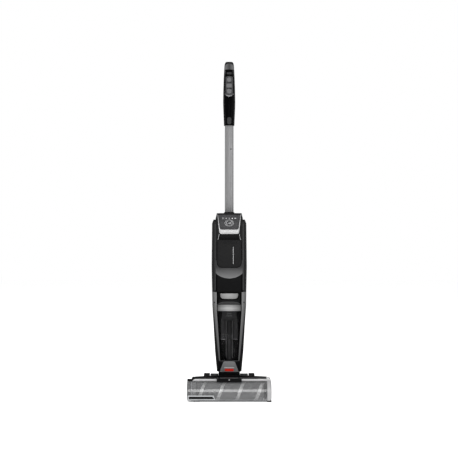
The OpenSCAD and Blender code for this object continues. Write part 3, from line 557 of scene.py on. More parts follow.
def rounded_outline(corners, radii, steps=6):
    """A closed outline (counterclockwise) with rounded corners: one radius for all of them, or one each."""
    if isinstance(radii, (int, float)):
        radii = [radii] * len(corners)
    points = []
    for i, corner in enumerate(corners):
        here = Vector(corner)
        before = (Vector(corners[i - 1]) - here).normalized()
        after = (Vector(corners[(i + 1) % len(corners)]) - here).normalized()
        radius = radii[i]
        if radius <= 0:
            points.append(tuple(here))
            continue
        half = before.angle(after) / 2
        centre = here + (before + after).normalized() * radius / math.sin(half)
        first = here + before * radius / math.tan(half) - centre
        turn = math.pi - 2 * half
        for a in spaced(0, turn, steps):
            spot = Vector((first.x * math.cos(a) - first.y * math.sin(a),
                           first.x * math.sin(a) + first.y * math.cos(a)))
            points.append(tuple(centre + spot))
    return points


def box_outline(low, high, radii, steps=6):
    """A rectangle between two opposite corners, with rounded corners."""
    return rounded_outline([low, (high[0], low[1]), high, (low[0], high[1])], radii, steps)


def even_outline(foot, top, radii, steps=6):
    """An outline even about x = 0: its half width and height at its foot, then at its top."""
    return rounded_outline([(-foot[0], foot[1]), foot, top, (-top[0], top[1])], radii, steps)


def sweep(name, path, radius, body, slot, paint=None, sides=10, closed=False):
    """A round bar of one radius along a path of points, with closed ends."""
    path = [Vector(p) for p in path]
    count = len(path)
    rings = []
    for i, here in enumerate(path):
        before = path[i - 1] if closed or i > 0 else here
        after = path[(i + 1) % count] if closed or i < count - 1 else here
        along = (after - before).normalized()
        side = along.cross(Vector((0, 0, 1)))
        if side.length < 0.2:
            side = along.cross(Vector((0, 1, 0)))
        side.normalize()
        up = side.cross(along)
        rings.append([tuple(here + side * u + up * v) for u, v in circle_points((0, 0), radius, sides)])
    if closed:
        rings.append(rings[0])
    points, faces = join_rings(rings, close_ends=not closed)
    return finish_piece(name, points, faces, body, slot, paint)


def cross_bar(name, place, ends, v, height, radius, body, slot, paint=None, parts=20, sides=8):
    """A round bar straight across a surface, between two x."""
    path = [place(x, v, height) for x in spaced(*ends, parts)]
    sweep(name, path, radius, body, slot, paint, sides)


def turned(name, profile, centre, body, slot, count, wobble):
    """A ring turned about an axis along X: its profile is a closed list of (x, radius) that wobble varies."""
    rings = []
    for i in range(count + 1):
        a = 2 * math.pi * (i % count) / count
        ring = []
        for k, (x, radius) in enumerate(profile):
            r = radius + wobble(k, i % count, x)
            ring.append((x, centre[0] + r * math.cos(a), centre[1] + r * math.sin(a)))
        rings.append(ring)
    points, faces = join_rings(rings, close_ends=False)
    return finish_piece(name, points, faces, body, slot)


# ---- Places taken from the frame, in millimetres ----

def node_box(*names):
    """The lowest and highest corners of some CAD nodes together."""
    boxes = [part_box(name) for name in names]
    low = [min(box[0][k] for box in boxes) / MM for k in range(3)]
    high = [max(box[1][k] for box in boxes) / MM for k in range(3)]
    return low, high


class Front:
    """The front surface of some CAD nodes: where a line along +Y first meets them."""

    side = -1                # the side that lines come from, along Y

    def __init__(self, *names):
        points = []
        faces = []
        for name in names:
            mesh = NODES[name].data
            start = len(points)
            points.extend(v.co.copy() for v in mesh.vertices)
            faces.extend(tuple(start + i for i in f.vertices) for f in mesh.polygons)
        self.tree = BVHTree.FromPolygons(points, faces)

    def y(self, x, z):
        """The surface's y at a place, or None where there is no surface."""
        hit = self.tree.ray_cast(Vector((x * MM, self.side, z * MM)), Vector((0, -self.side, 0)))[0]
        return hit.y / MM if hit else None

    def place(self, x, z, height):
        """A point that stands out from the surface by a height; just past a side it keeps the side's y."""
        y = self.y(x, z)
        if y is None:
            y = self.y(0.9 * x, z)
        return (x, (y if y is not None else 0) + self.side * height, z)


class Back(Front):
    """The rear surface of some CAD nodes, met along -Y."""

    side = 1


# ---- CAD nodes that stay: material and soft edges ----

FINISH = {
    "head_chassis": HEAD_BLACK,
    "head_top_cover": HEAD_BLACK,
    "dirty_tank_lid": LID_SILVER,
    "accent_panel": ACCENT_GREY,
    "control_panel": PANEL_GREY,
    "power_button": BUTTON_GREY,
    "mode_button": BUTTON_GREY,
    "spray_button": BUTTON_GREY,
    "grip_top_cap": CAP_TWO_TONE_AND_SHADE,
    "tank_frame": STRUT_TWO_TONE_AND_SHADE,
    "clean_tank": CLEAN_SMOKE,
    "badge_plate": BADGE_GREY,
}
EDGE_ROUND = 0.0006          # width of the rounding on hard edges, in metres
HARD_ANGLE = 35              # edges sharper than this are rounded, in degrees


def soften(node):
    """Rounds a CAD node's hard edges and smooths its shading without touching its mesh."""
    weld = node.modifiers.new("weld", "WELD")
    weld.merge_threshold = 1e-5
    bevel = node.modifiers.new("edge_round", "BEVEL")
    bevel.width = EDGE_ROUND
    bevel.segments = 2
    bevel.limit_method = "ANGLE"
    bevel.angle_limit = math.radians(HARD_ANGLE)
    bevel.harden_normals = True


def dress_cad_nodes():
    """Gives every CAD node its finish from FINISH, or else the material of its record slot, and soft edges.
    """
    for part in frame["record"]["subparts"]:
        node = NODES[part["node"]]
        node.data.materials.clear()
        node.data.materials.append(FINISH.get(part["node"], MATERIALS[part["material_slot"]]))
        node.data.polygons.foreach_set("use_smooth", [True] * len(node.data.polygons))
        soften(node)


# ---- Floor head: roller ----

ROLLER_LOW, ROLLER_HIGH = node_box("roller_sleeve")
ROLLER_Y = (ROLLER_LOW[1] + ROLLER_HIGH[1]) / 2
ROLLER_Z = (ROLLER_LOW[2] + ROLLER_HIGH[2]) / 2
ROLLER_R = (ROLLER_HIGH[2] - ROLLER_LOW[2]) / 2
CORE_R = 21.3
PILE_SINK = 1.1              # the pile's mean surface lies this far inside the sleeve's
PILE_END = 3.0               # and its ends this far
STRIPE_PITCH = 61.5
STRIPE_W = 11.0
STRIPE_START = -80.6         # x at which the stripe passes the top of the roller's front
STRIPE_TOP_DEG = 125.0       # and the angle of that place


def about_roller(x, angle, radius):
    """A point at an angle, in degrees from +Y, about the roller's axis."""
    a = math.radians(angle)
    return (x, ROLLER_Y + radius * math.cos(a), ROLLER_Z + radius * math.sin(a))


def make_roller_pile():
    """Deep pile with a combed, uneven surface and rounded ends."""
    x0, x1 = ROLLER_LOW[0], ROLLER_HIGH[0]
    around = 150
    along = 150
    profile = [(x0, CORE_R), (x0, ROLLER_R - PILE_END)]
    for x in spaced(x0 + 0.6, x1 - 0.6, along):
        from_end = min(x - x0, x1 - x)
        profile.append((x, ROLLER_R - PILE_SINK - max(0, 2 - from_end) ** 2 * 0.4))
    profile += [(x1, ROLLER_R - PILE_END), (x1, CORE_R)]

    def tuft(k, i, x):
        if not 2 <= k <= along + 2:
            return 0
        a = 2 * math.pi * i / around
        coarse = noise.noise(Vector((x * 0.35, 9 * math.cos(a), 9 * math.sin(a))))
        fine = noise.noise(Vector((x * 1.1, 26 * math.cos(a), 26 * math.sin(a))))
        return 0.35 * coarse + 0.35 * fine

    pile = turned("roller_pile", profile, (ROLLER_Y, ROLLER_Z), "roller", "roller_pile", around, tuft)
    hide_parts("roller_sleeve")


def make_roller_stripe():
    """One raised helical strip of pale bristles that winds round the pile."""
    across = [(-0.5, -1.6), (-0.46, -0.3), (-0.36, 0.0), (0.0, 0.08), (0.36, 0.0), (0.46, -0.3), (0.5, -1.6)]
    rings = []
    for x in spaced(ROLLER_LOW[0] + 3, ROLLER_HIGH[0] - 3, 240):
        angle = STRIPE_TOP_DEG - 360 * (x - STRIPE_START) / STRIPE_PITCH
        ring = []
        for k, (side, rise) in enumerate(across):
            rough = 0.12 * noise.noise(Vector((x * 2, side * 8, 3))) if 0 < k < len(across) - 1 else 0
            ring.append(about_roller(x + side * STRIPE_W, angle, ROLLER_R - 0.25 + rise + rough))
        rings.append(ring)
    points, faces = join_rings(rings)
    finish_piece("roller_stripe", points, faces, "roller", "roller_pile", STRIPE_PILE)


# ---- Floor head: window ----

WINDOW_LOW, WINDOW_HIGH = node_box("window_cover")
TRIM_LOW, TRIM_HIGH = node_box("window_trim")
WINDOW_R = 38.0              # radius of the window's outer face
WINDOW_T = 2.4               # its thickness
WINDOW_TOP_DEG = 76.0        # angles of its upper edge,
BAND_TOP_DEG = 79.0          # of the silver band on it
BAND_LOW_DEG = 114.0
SKIRT_DEG = 214.0            # and of the start of its straight skirt
SKIRT_FOOT = (-111.0, 1.2)   # y and z of the skirt's lower edge


def along_window(angle):
    """The way round the window's outer face at an angle."""
    return math.radians(angle) * WINDOW_R


SKIRT_START = along_window(SKIRT_DEG)
SKIRT_TOP = Vector(about_roller(0, SKIRT_DEG, WINDOW_R)).yz
SKIRT_RUN = Vector(SKIRT_FOOT) - SKIRT_TOP
WINDOW_END = SKIRT_START + SKIRT_RUN.length


def on_window(x, s, height):
    """A point on the window: s runs forwards and down its outer face, round the roller and down the skirt."""
    if s <= SKIRT_START:
        return about_roller(x, math.degrees(s / WINDOW_R), WINDOW_R + height)
    down = SKIRT_RUN.normalized()
    spot = SKIRT_TOP + down * (s - SKIRT_START) + Vector((down.y, -down.x)) * height
    return (x, spot.x, spot.y)


def make_window():
    """Clear shell with round lower corners, a thick frosted lip and a rib along its inner edge."""
    top = along_window(WINDOW_TOP_DEG)
    x0, x1 = WINDOW_LOW[0], WINDOW_HIGH[0]
    outline = box_outline((x0, top), (x1, WINDOW_END), [1.5, 1.5, 2, 8])
    shell = plate("window_shell", outline, on_window, (-WINDOW_T, 0), 0.9, "window", "clear_window", step=3.6)
    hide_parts("window_cover")
    for name, s, radius in (("window_lip", WINDOW_END - 1.3, 1.15), ("window_rail", WINDOW_END - 6.5, 0.7)):
        cross_bar(name, on_window, (x0 + 8, x1 - 2), s, -WINDOW_T / 2, radius, "window", "clear_window",
                  FROSTED, 40, 10)
    path = [on_window(x0 + 14.6, s, -WINDOW_T - 0.1) for s in spaced(top + 4, SKIRT_START, 30)]
    sweep("window_rib", path, 0.6, "window", "clear_window", FROSTED)


def make_window_trim():
    """Silver band along the top of the window, with a slanted end on the left."""
    start = along_window(BAND_TOP_DEG)
    end = along_window(BAND_LOW_DEG)
    slant = 9
    outline = rounded_outline([(TRIM_LOW[0] + slant, start), (TRIM_HIGH[0], start), (TRIM_HIGH[0], end),
                               (TRIM_LOW[0], end)], 1)
    band = plate("window_band", outline, on_window, (0.05, 1.6), 0.6, "window", "silver_trim")
    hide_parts("window_trim")
    cross_bar("window_band_seal", on_window, (TRIM_LOW[0], TRIM_HIGH[0]), end + 0.9, 0.1, 0.7, "window",
              "silver_trim", RAIL_GREY, 40, 10)


def make_window_corner():
    """Black corner piece on the window's upper left, beside the band's slanted end."""
    left = WINDOW_LOW[0] + 0.6
    right = TRIM_LOW[0]
    start = along_window(WINDOW_TOP_DEG + 1)
    end = along_window(BAND_LOW_DEG - 1)
    corners = [(left, start), (right + 8, start), (right - 1, end), (left, end)]
    outline = rounded_outline(corners, [5, 1, 1, 7])
    plate("window_corner", outline, on_window, (0.05, 2.2), 1.2, "window", "black_plastic", HEAD_BLACK, 3.0)


LABEL_END = -52.0            # x of the upper right corner of the window's label


def make_label():
    """Plain dark strip in a pale frame at the lower left of the window, with a slanted end."""

    def strip(grow, start, end):
        left = WINDOW_LOW[0] + 5 - grow
        right = LABEL_END + grow
        return rounded_outline([(left, start), (right, start), (right + 6, end), (left, end)], 1.5, 3)

    outer = strip(2.2, along_window(191), SKIRT_START + 2)
    inner = strip(-1.2, along_window(197), along_window(211))
    plate("label_frame", outer, on_window, (0.05, 0.5), 0.2, "window", "clear_window", FROSTED, 3.0)
    plate("label_strip", inner, on_window, (0.4, 0.8), 0.15, "window", "charcoal_plastic", step=3.0)


def make_latch():
    """Pull tab with a finger lip, a thin pale bar along its top as a painted highlight, and a small release
    mark.
    """
    half = node_box("window_latch")[1][0]
    back = 2.0
    face = back + 3.2
    start = along_window(BAND_TOP_DEG)
    end = along_window(123.5)
    outline = even_outline((half, start), (half, end), [2, 2, 2.5, 2.5])
    tab = plate("latch_tab", outline, on_window, (back, back + 3.5), 1.2, "window_latch", "black_plastic")
    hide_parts("window_latch")
    # the second bar is a painted highlight along the tab's upper edge
    for name, s, reach, paint in (("latch_lip", end - 3.0, half - 4, None),
                                  ("latch_highlight", along_window(95), 29, GUARD_GREY)):
        cross_bar(name, on_window, (-reach, reach), s, face, 0.8, "window_latch", "black_plastic", paint,
                  sides=10)
    mark = circle_points((0, along_window(116)), 2.2, 20)
    plate("latch_mark", mark, on_window, (face, face + 0.6), 0.2, "window_latch", "black_plastic",
          PRINT_WHITE, 2.0)


# ---- Floor head: caps, guard, neck and wheels ----

LEFT_CAP_TOP = 65.5          # the left cap's height over the roller
LEFT_CAP_FALL = 0.16         # how steeply it falls towards the back


def side_outline(node):
    """The convex side outline of a CAD node as (y, z) points, counterclockwise."""
    flat = [Vector((v.co.y / MM, v.co.z / MM)) for v in NODES[node].data.vertices]
    outline = [flat[i] for i in convex_hull_2d(flat)]
    area = sum(a.x * b.y - a.y * b.x for a, b in zip(outline, outline[1:] + outline[:1]))
    if area < 0:
        outline.reverse()
    return dense([tuple(p) for p in outline], 3.0)


def shrink(outline, distance):
    """A convex outline drawn in by about a distance, towards its middle."""
    ys = [p[0] for p in outline]
    zs = [p[1] for p in outline]
    middle = Vector(((min(ys) + max(ys)) / 2, (min(zs) + max(zs)) / 2))
    reach = Vector(((max(ys) - min(ys)) / 2, (max(zs) - min(zs)) / 2))
    keep = Vector(((reach.x - distance) / reach.x, (reach.y - distance) / reach.y))
    return [(middle.x + (y - middle.x) * keep.x, middle.y + (z - middle.y) * keep.y) for y, z in outline]


def make_end_cap(node, name, outline, inner_x, outer_x, slot, paint=None):
    """Solid cap with a shut line by its inner side, a broad round edge and a shallow dished face."""
    outward = 1 if outer_x > inner_x else -1
    edge = 7.0
    shut_line = [(0, 0), (0, 1.2), (0.7, 1.3), (0.7, 2.0), (0, 2.1)]
    dish = [(edge + 5, 0), (edge + 6, 0.8), (edge + 12, 0.9)]
    profile = [(distance, inner_x + outward * out) for distance, out in shut_line]
    for distance, fall in round_edge(edge, range(0, 91, 15)) + dish:
        profile.append((distance, outer_x - outward * fall))
    rings = []
    for distance, x in profile:
        rings.append([(x, y, z) for y, z in shrink(outline, distance)])
    points, faces = join_rings(rings)
    cap = finish_piece(name, points, faces, "head", slot, paint)
    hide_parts(node)


def make_end_caps():
    """A silver service cap on the right, and a lower grey cap under the window's left end."""
    node = "end_cap_right"
    low, high = node_box(node)
    make_end_cap(node, "right_cap_shell", side_outline(node), low[0], high[0], "silver_trim", CAP_SILVER)
    node = "end_cap_left"
    low, high = node_box(node)
    lowered = []
    for y, z in side_outline(node):
        lowered.append((y, min(z, LEFT_CAP_TOP - LEFT_CAP_FALL * (y - ROLLER_Y))))
    make_end_cap(node, "left_cap_shell", lowered, high[0], low[0], "grey_plastic")


def make_belt_guard():
    """Grey guard over the belt and its pulley, behind the window's left end."""
    radius = 34.4
    top = math.radians(84) * radius
    end = math.radians(218) * radius

    def on_guard(x, s, height):
        return about_roller(x, math.degrees(s / radius), radius + height)

    outline = box_outline((WINDOW_LOW[0] + 15, top), (ROLLER_LOW[0] - 1.2, end), 0)
    plate("belt_guard", outline, on_guard, (-1.6, 0), 0.6, "head", "grey_plastic", GUARD_GREY, 3.0)


def make_end_felt():
    """Felt strip round the lower half of the roller's service end."""
    path = [about_roller(ROLLER_HIGH[0] + 4.9, angle, 25.5) for angle in spaced(185, 345, 32)]
    sweep("end_felt", path, 2.9, "head", "black_rubber")


PLEAT_FOOT = 55.5            # height of the lowest pleat
PLEAT_PITCH = 1.6


def make_hose_pleats():
    """Pleats round the upright leg of the neck's hose, close enough to fill the space beside it."""
    low, high = node_box("neck_hose")
    radius = (high[0] - low[0]) / 2
    centre = (0, high[1] - radius)
    for i in range(12):
        ring = [(x, y, PLEAT_FOOT + PLEAT_PITCH * i) for x, y in circle_points(centre, radius + 0.6, 40)]
        sweep("hose_pleat_%d" % (i + 1), ring, 0.9, "neck", "black_rubber", sides=8, closed=True)


def make_neck_shoulders():
    """A cheek on each side of the neck, between its lug and its round top plate."""
    lug_x = node_box("neck_yoke")[1][0]
    outline = box_outline((31, 58), (59, 77), 4)
    for side, name in SIDES:

        def on_side(y, z, height):
            return (side * (lug_x - 4 + height), y, z)

        plate("neck_shoulder_" + name, outline, on_side, (0, 4.4), 1.0, "neck", "black_plastic", HEAD_BLACK)


CREST_AXIS = (-6.0, 55.5)    # y and z of the round ridge at the top of the head's profile
CREST_R = 12.0
CREST_BOW = 3.4              # how much higher the crest is in its middle
CREST_X = 6.5                # x of its middle
CREST_HALF = 117.5           # half its length


def make_head_crest():
    """Low ridge along the top of the head, highest in the middle and flat at its ends."""
    rings = []
    for share in spaced(-1, 1, 48):
        rise = 0.5 + CREST_BOW * (1 - share * share)
        outer = circle_points(CREST_AXIS, CREST_R + rise, 13, 50, 112)
        inner = circle_points(CREST_AXIS, CREST_R - 0.8, 13, 50, 112)
        rings.append([(CREST_X + CREST_HALF * share, y, z) for y, z in outer + list(reversed(inner))])
    points, faces = join_rings(rings)
    finish_piece("head_crest", points, faces, "head", "black_plastic", HEAD_BLACK)


def make_tyre(side):
    """Tyre with a rounded shoulder and cross grooves in its tread."""
    node = "wheel_tyre_" + side
    low, high = node_box(node)
    centre = ((low[1] + high[1]) / 2, (low[2] + high[2]) / 2)
    radius = (high[2] - low[2]) / 2
    inner = radius - 6
    width = high[0] - low[0]
    shoulder = 2.5
    profile = [(low[0], inner), (low[0], radius - shoulder)]
    profile += [(low[0] + into, radius - fall) for into, fall in round_edge(shoulder, (30, 60, 90))]
    for share, groove in ((0.3, 0), (0.36, 0.8), (0.4, 0), (0.6, 0), (0.64, 0.8), (0.7, 0)):
        profile.append((low[0] + width * share, radius - groove))
    profile += [(high[0] - into, radius - fall) for into, fall in round_edge(shoulder, (90, 60, 30))]
    profile += [(high[0], radius - shoulder), (high[0], inner)]

    def tread(k, i, x):
        return -0.9 if 3 <= k <= len(profile) - 4 and i % 6 == 0 else 0

    tyre = turned("tyre_" + side, profile, centre, "wheel_" + side, "tyre_rubber", 144, tread)
    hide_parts(node)


# ---- Housing: display, panels and rails ----

DIAL_Z = 571.6
DIAL_R = 14.0
DIAL_SQUASH = 0.7            # height of the dial's ovals as a share of their width
ICON_Z = 587.0


def make_display():
    """A generic dial ring with inner arcs, bars and a row of plain marks above it."""
    face = Front("display_panel")

    def mark(name, outline):
        plate(name, outline, face.place, (-0.3, 0.35), 0.12, "upright", "silver_trim", PRINT_WHITE, 2.0)

    def ring(name, radius, width, start=0.0, end=360.0, centre=(0, DIAL_Z), squash=DIAL_SQUASH):
        whole = end - start >= 360
        path = circle_points((0, 0), radius, 49 if whole else 25, start, end)
        bar = [face.place(centre[0] + x, centre[1] + z * squash, 0.1) for x, z in path]
        sweep(name, bar, width / 2, "upright", "silver_trim", PRINT_WHITE, 8, whole)

    ring("dial_ring", DIAL_R, 1.0)
    ring("dial_arc_left", DIAL_R - 4.2, 1.1, 120, 240)
    ring("dial_arc_right", DIAL_R - 4.2, 1.1, -60, 60)
    foot = DIAL_Z - 2.8
    for i in range(3):
        x = -3.4 + 3.4 * i
        mark("dial_bar_%d" % (i + 1), box_outline((x - 0.8, foot), (x + 0.8, foot + 2.2 + 1.4 * i), 0))
    ring("icon_ring", 2.2, 0.8, 0, 360, (-20, ICON_Z), 1.0)
    for i, x in enumerate((-10, 0)):
        mark("icon_dot_%d" % (i + 1), circle_points((x, ICON_Z), 1.4, 16))
    mark("icon_drop", [(7.6, ICON_Z - 1.2), (10, ICON_Z - 2.4), (12.4, ICON_Z - 1.2), (10, ICON_Z + 2.8)])
    mark("icon_bar", box_outline((17, ICON_Z - 1.1), (23, ICON_Z + 1.1), 1, 3))


RAIL_X = 46.0                # the middle of each rail's bead, and the heights it runs between
RAIL_FOOT = 352
RAIL_TOP = 580
PULL_TOP = 535.5             # height at which the painted highlight lines beside the finger pull start
COVER_LINE = ((12.6, 438), (13.8, 494))      # opposite corners of the plain line on the front cover


def make_rail_strips():
    """A bead down the inner edge of each side rail, painted pale as a painted highlight on the rail's inner
    bevel.
    """
    rail = Front("front_frame")
    for side, name in SIDES:
        heights = range(RAIL_FOOT, RAIL_TOP, 6)
        right = [(side * RAIL_X + 2.2, z) for z in heights]
        left = [(side * RAIL_X - 2.2, z) for z in reversed(heights)]
        # the bead's pale grey is a painted highlight
        plate("rail_bead_" + name, right + left, rail.place, (-0.5, 0.5), 0.45, "upright", "charcoal_plastic",
              RAIL_GREY, 6.0)


def make_pull_highlights():
    """A thin white bar down each side of the finger pull, a painted highlight along the pull's edge."""
    wall = Front("front_frame", "display_bezel", "front_cover")
    for side, name in SIDES:
        path = []
        for t in spaced(0, 1, 12):
            path.append(wall.place(side * (33.2 + 2.8 * t + 1.2 * t * t), PULL_TOP - 19 * t, 0.05))
        # painted highlight in white along each edge of the pull
        sweep("pull_highlight_" + name, path, 0.5, "upright", "silver_trim", PRINT_WHITE, 8)


def make_cover_details():
    """A gloss black bar round the front cover as a painted shadow line along its edge, a plain upright line
    on it and grip ribs across its top.
    """
    cover = Front("front_cover")
    low, high = node_box("front_cover")
    around = Front("front_frame", "accent_panel")
    reach = high[0] + 1.0
    top = high[2] - 6
    foot = low[2] - 1
    seam = rounded_outline([(-reach, top), (-reach, foot), (reach, foot), (reach, top)], [0, 16, 16, 0], 8)
    # painted shadow: a black bar along the cover's edge, where its shadow falls
    path = [around.place(x, z, -0.1) for x, z in open_dense(seam, 4)]
    sweep("cover_shadow_line", path, 1.0, "upright", "charcoal_plastic", MATERIALS["grip_black"], 8)
    line = box_outline(*COVER_LINE, 0)
    plate("cover_line", line, cover.place, (-0.2, 0.22), 0.08, "front_cover", "silver_trim", PRINT_WHITE, 6.0)
    for i in range(3):
        z = high[2] - 5 - 3.2 * i
        cross_bar("cover_rib_%d" % (i + 1), cover.place, (-24, 24), z, -0.1, 0.55, "front_cover",
                  "charcoal_plastic", parts=16)


# ---- Tanks and badge ----

def make_release_pad():
    """Pillow-shaped silver pad with deeper lower corners, and the gloss black rim round it."""
    low, high = node_box("tank_release")
    half_w = high[0]
    half_h = (high[2] - low[2]) / 2
    middle_z = low[2] + half_h
    depth = high[1] - low[1]

    def pillow(x, z, height):
        crown = 1 - 0.5 * (x / half_w) ** 2 - 0.5 * ((z - middle_z) / half_h) ** 2
        return (x, high[1] - height - max(0, height) / 12 * crown, z)

    outline = even_outline((half_w - 1.5, low[2]), (half_w, high[2]), [11, 11, 3, 3])
    pad = plate("release_pad", outline, pillow, (0, depth - 1.1), 2.2, "tank_release", "silver_trim",
                PAD_SILVER, 2.5)
    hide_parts("tank_release")
    cap = Front("tank_cap", "dirty_tank_lid")
    grow = 1.9
    rim = even_outline((half_w + grow, low[2] - grow), (half_w + grow, high[2] + grow), [10, 10, 4, 4])
    path = [cap.place(x, z, 0.2) for x, z in dense(rim, 4)]
    sweep("pad_rim", path, 1.1, "dirty_tank", "black_plastic", MATERIALS["grip_black"], closed=True)


def make_lid_lips():
    """Fine raised lips along the top and the bottom of the bright band."""
    low, high = node_box("dirty_tank_lid")
    band = Front("dirty_tank_lid")
    half = high[0] - 3.5
    for name, z in (("top", high[2] - 1.4), ("bottom", low[2] + 2.2)):
        cross_bar("lid_lip_" + name, band.place, (-half, half), z, 0.0, 0.6, "dirty_tank", "silver_trim",
                  LID_SILVER, 24)


CHAMBER_X = 20.5             # the side chambers' distance from the middle, and their heights
CHAMBER_FOOT = 188.0
CHAMBER_TOP = 256.0
FILTER_FOOT = 251.0          # height of the lower edge of the filter's skirt
ROD_X = 10.0                 # the guide rods' distance from the middle
ROD_FOOT = 128.0


def oval(x, y, z, half):
    """A level oval about a place, half as deep as it is wide."""
    return [(x + u, y + 0.5 * v, z) for u, v in circle_points((0, 0), half, 24)]


def make_tank_inside():
    """Filter slats and skirt, two side chambers with white rings as painted highlights at their feet, and
    guide rods painted pale as highlights on the sides of the middle tube, that show through the smoked tank.
    """
    low = node_box("tank_filter")[0]
    body, slot = "dirty_tank", "inner_plastic"

    def on_filter(x, z, height):
        return (x, low[1] - height, z)

    skirt = even_outline((25, FILTER_FOOT), (25, low[2] + 2), [6, 6, 0, 0])
    plate("filter_skirt", skirt, on_filter, (-8, 0.4), 0.8, body, slot)
    for i, z in enumerate((266.5, 273.5, 280.0)):
        slat = even_outline((9 - i, z - 1.3), (9 - i, z + 1.3), 1, 3)
        plate("filter_slat_%d" % (i + 1), slat, on_filter, (-0.5, 1.2), 0.4, body, slot, GUARD_GREY)
    for side, name in SIDES:
        x = side * CHAMBER_X
        stations = [(CHAMBER_FOOT, 6.4, 4.6), (CHAMBER_FOOT + 1.5, 7.0, 4.4), (CHAMBER_TOP, 7.6, -1.6)]
        points, faces = join_rings([oval(x, y, z, half) for z, half, y in stations])
        finish_piece("filter_chamber_" + name, points, faces, body, slot)
        # the white ring at the chamber's foot is a painted highlight
        edge = oval(x, 4.5, CHAMBER_FOOT + 1.2, 6.8)
        sweep("chamber_highlight_" + name, edge, 0.7, body, slot, PRINT_WHITE, 8, True)
        # the rod's pale grey is a painted highlight for the lit sides of the middle tube
        rod = [(side * ROD_X, 7.4, ROD_FOOT), (side * ROD_X, -4.2, FILTER_FOOT)]
        sweep("guide_rod_" + name, rod, 1.2, body, slot, ARC_GREY)


def make_badge():
    """A plain red pill with a thin pale line above it, in place of any mark."""
    foot = Front("badge_plate")
    pill_z = node_box("badge_plate")[0][2] + 6.8
    pill = even_outline((15, pill_z - 4.2), (15, pill_z + 4.2), 4.1)
    plate("badge_pill", pill, foot.place, (-0.3, 0.8), 0.4, "upright", "silver_trim", BADGE_RED, 2.5)
    line = even_outline((17, pill_z + 6.6), (17, pill_z + 9.2), 1.2, 3)
    plate("badge_line", line, foot.place, (-0.3, 0.5), 0.2, "upright", "silver_trim", PRINT_WHITE, 3.0)


def make_cap_arch():
    """Arched facet on the tank's cap, above the bright band, with a fine rib along its edge."""
    cap = Front("tank_cap", "dirty_tank_lid")
    foot = node_box("tank_cap")[0][2]
    half = 36
    arch = [(x, foot + 2.5 + 7.0 * (1 - (x / half) ** 4)) for x in spaced(half, -half, 24)]
    facet = [(-half, foot + 1), (half, foot + 1)] + arch
    plate("cap_facet", facet, cap.place, (-0.4, 0.4), 0.3, "dirty_tank", "black_plastic", RAIL_GREY, 3.0)
    path = [cap.place(x, z, 0.3) for x, z in arch]
    sweep("cap_arch", path, 0.6, "dirty_tank", "black_plastic", PANEL_GREY, 8)


PLUG = (48.5, 311)           # x and height of the strut's plug


def make_strut_plugs():
    """Two small round plugs in the struts beside the tank's lid."""
    strut = Front("tank_frame")
    for side, name in SIDES:
        spot = circle_points((side * PLUG[0], PLUG[1]), 2.2, 20)
        plate("strut_plug_" + name, spot, strut.place, (-0.6, 0.5), 0.3, "upright", "black_plastic", step=2.0)


# ---- Wand and grip ----

GRIP = Front("grip_front", "grip_rear", "grip_top_cap", "control_panel")
GRIP_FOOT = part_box("grip_front")[0].z / MM
PANEL_LOW, PANEL_HIGH = node_box("control_panel")


def make_grip_arc():
    """Silver crescent below the buttons, thick in the middle and thin at its ends."""
    centre_z = PANEL_LOW[2] + 17.5
    outer, inner = [], []
    for share in spaced(0, 1, 24):
        a = math.radians(205 + 130 * share)
        swell = math.sin(math.pi * share)
        outer.append((16.2 * math.cos(a), centre_z + 18.5 * math.sin(a)))
        inner.append((15.2 * math.cos(a), centre_z + (18.0 - 3.4 * swell) * math.sin(a)))
    outline = outer + list(reversed(inner))
    plate("grip_arc", outline, GRIP.place, (-0.8, 0.7), 0.35, "upright", "silver_trim", ARC_GREY, 1.6)


BAND_UPPER = 1075.0          # heights of the grip's dark bands, with their half width and height
BAND_LOWER = 1060.0
BAND_HALF = 11.5
BAND_HEIGHT = 6.4
FACET_FOOT = 1064.6          # the facet between them
FACET_TOP = 1071.6
CHEEK_FOOT = 1066.0          # the cheeks beside them
CHEEK_TOP = 1079.0
RULE_UPPER = 1036.8          # heights of the rules between the buttons
RULE_LOWER = 1017.2


def make_grip_bands():
    """Two dark arched bands above the buttons, with a facet between them, and the cap's cheeks."""
    for name, z in (("grip_band_upper", BAND_UPPER), ("grip_band_lower", BAND_LOWER)):
        low = [(BAND_HALF * share, z - 3.6 + 2.2 * (1 - share ** 2)) for share in spaced(-1, 1, 16)]
        high = [(x, foot + BAND_HEIGHT) for x, foot in reversed(low)]
        plate(name, low + high, GRIP.place, (-0.5, 0.6), 0.4, "upright", "grip_black", step=2.5)
    for side, name in SIDES:
        cheek = [(12.0, CHEEK_FOOT), (14.2, CHEEK_FOOT), (15.0, CHEEK_TOP), (12.0, CHEEK_TOP)]
        if side < 0:
            cheek = [(-x, z) for x, z in reversed(cheek)]
        plate("cap_cheek_" + name, cheek, GRIP.place, (-0.5, 0.4), 0.35, "upright", "grey_plastic",
              PANEL_GREY, 1.5)
    facet = even_outline((7.5, FACET_FOOT), (8.5, FACET_TOP), [2, 2, 1, 1], 4)
    plate("grip_facet", facet, GRIP.place, (-0.4, 0.5), 0.35, "upright", "charcoal_plastic", RAIL_GREY, 2.5)
    for name, z in (("button_rule_upper", RULE_UPPER), ("button_rule_lower", RULE_LOWER)):
        cross_bar(name, GRIP.place, (-8.6, 8.6), z, 0.1, 0.55, "upright", "black_plastic",
                  MATERIALS["grip_black"], 10, 10)


def make_grip_patch():
    """Soft-touch inlay with round corners, low on the grip's front."""
    outline = even_outline((6.5, GRIP_FOOT + 4), (7.5, GRIP_FOOT + 27), [5, 5, 7, 7])
    plate("grip_patch", outline, GRIP.place, (-0.5, 0.35), 0.3, "upright", "charcoal_plastic", RAIL_GREY, 3.0)


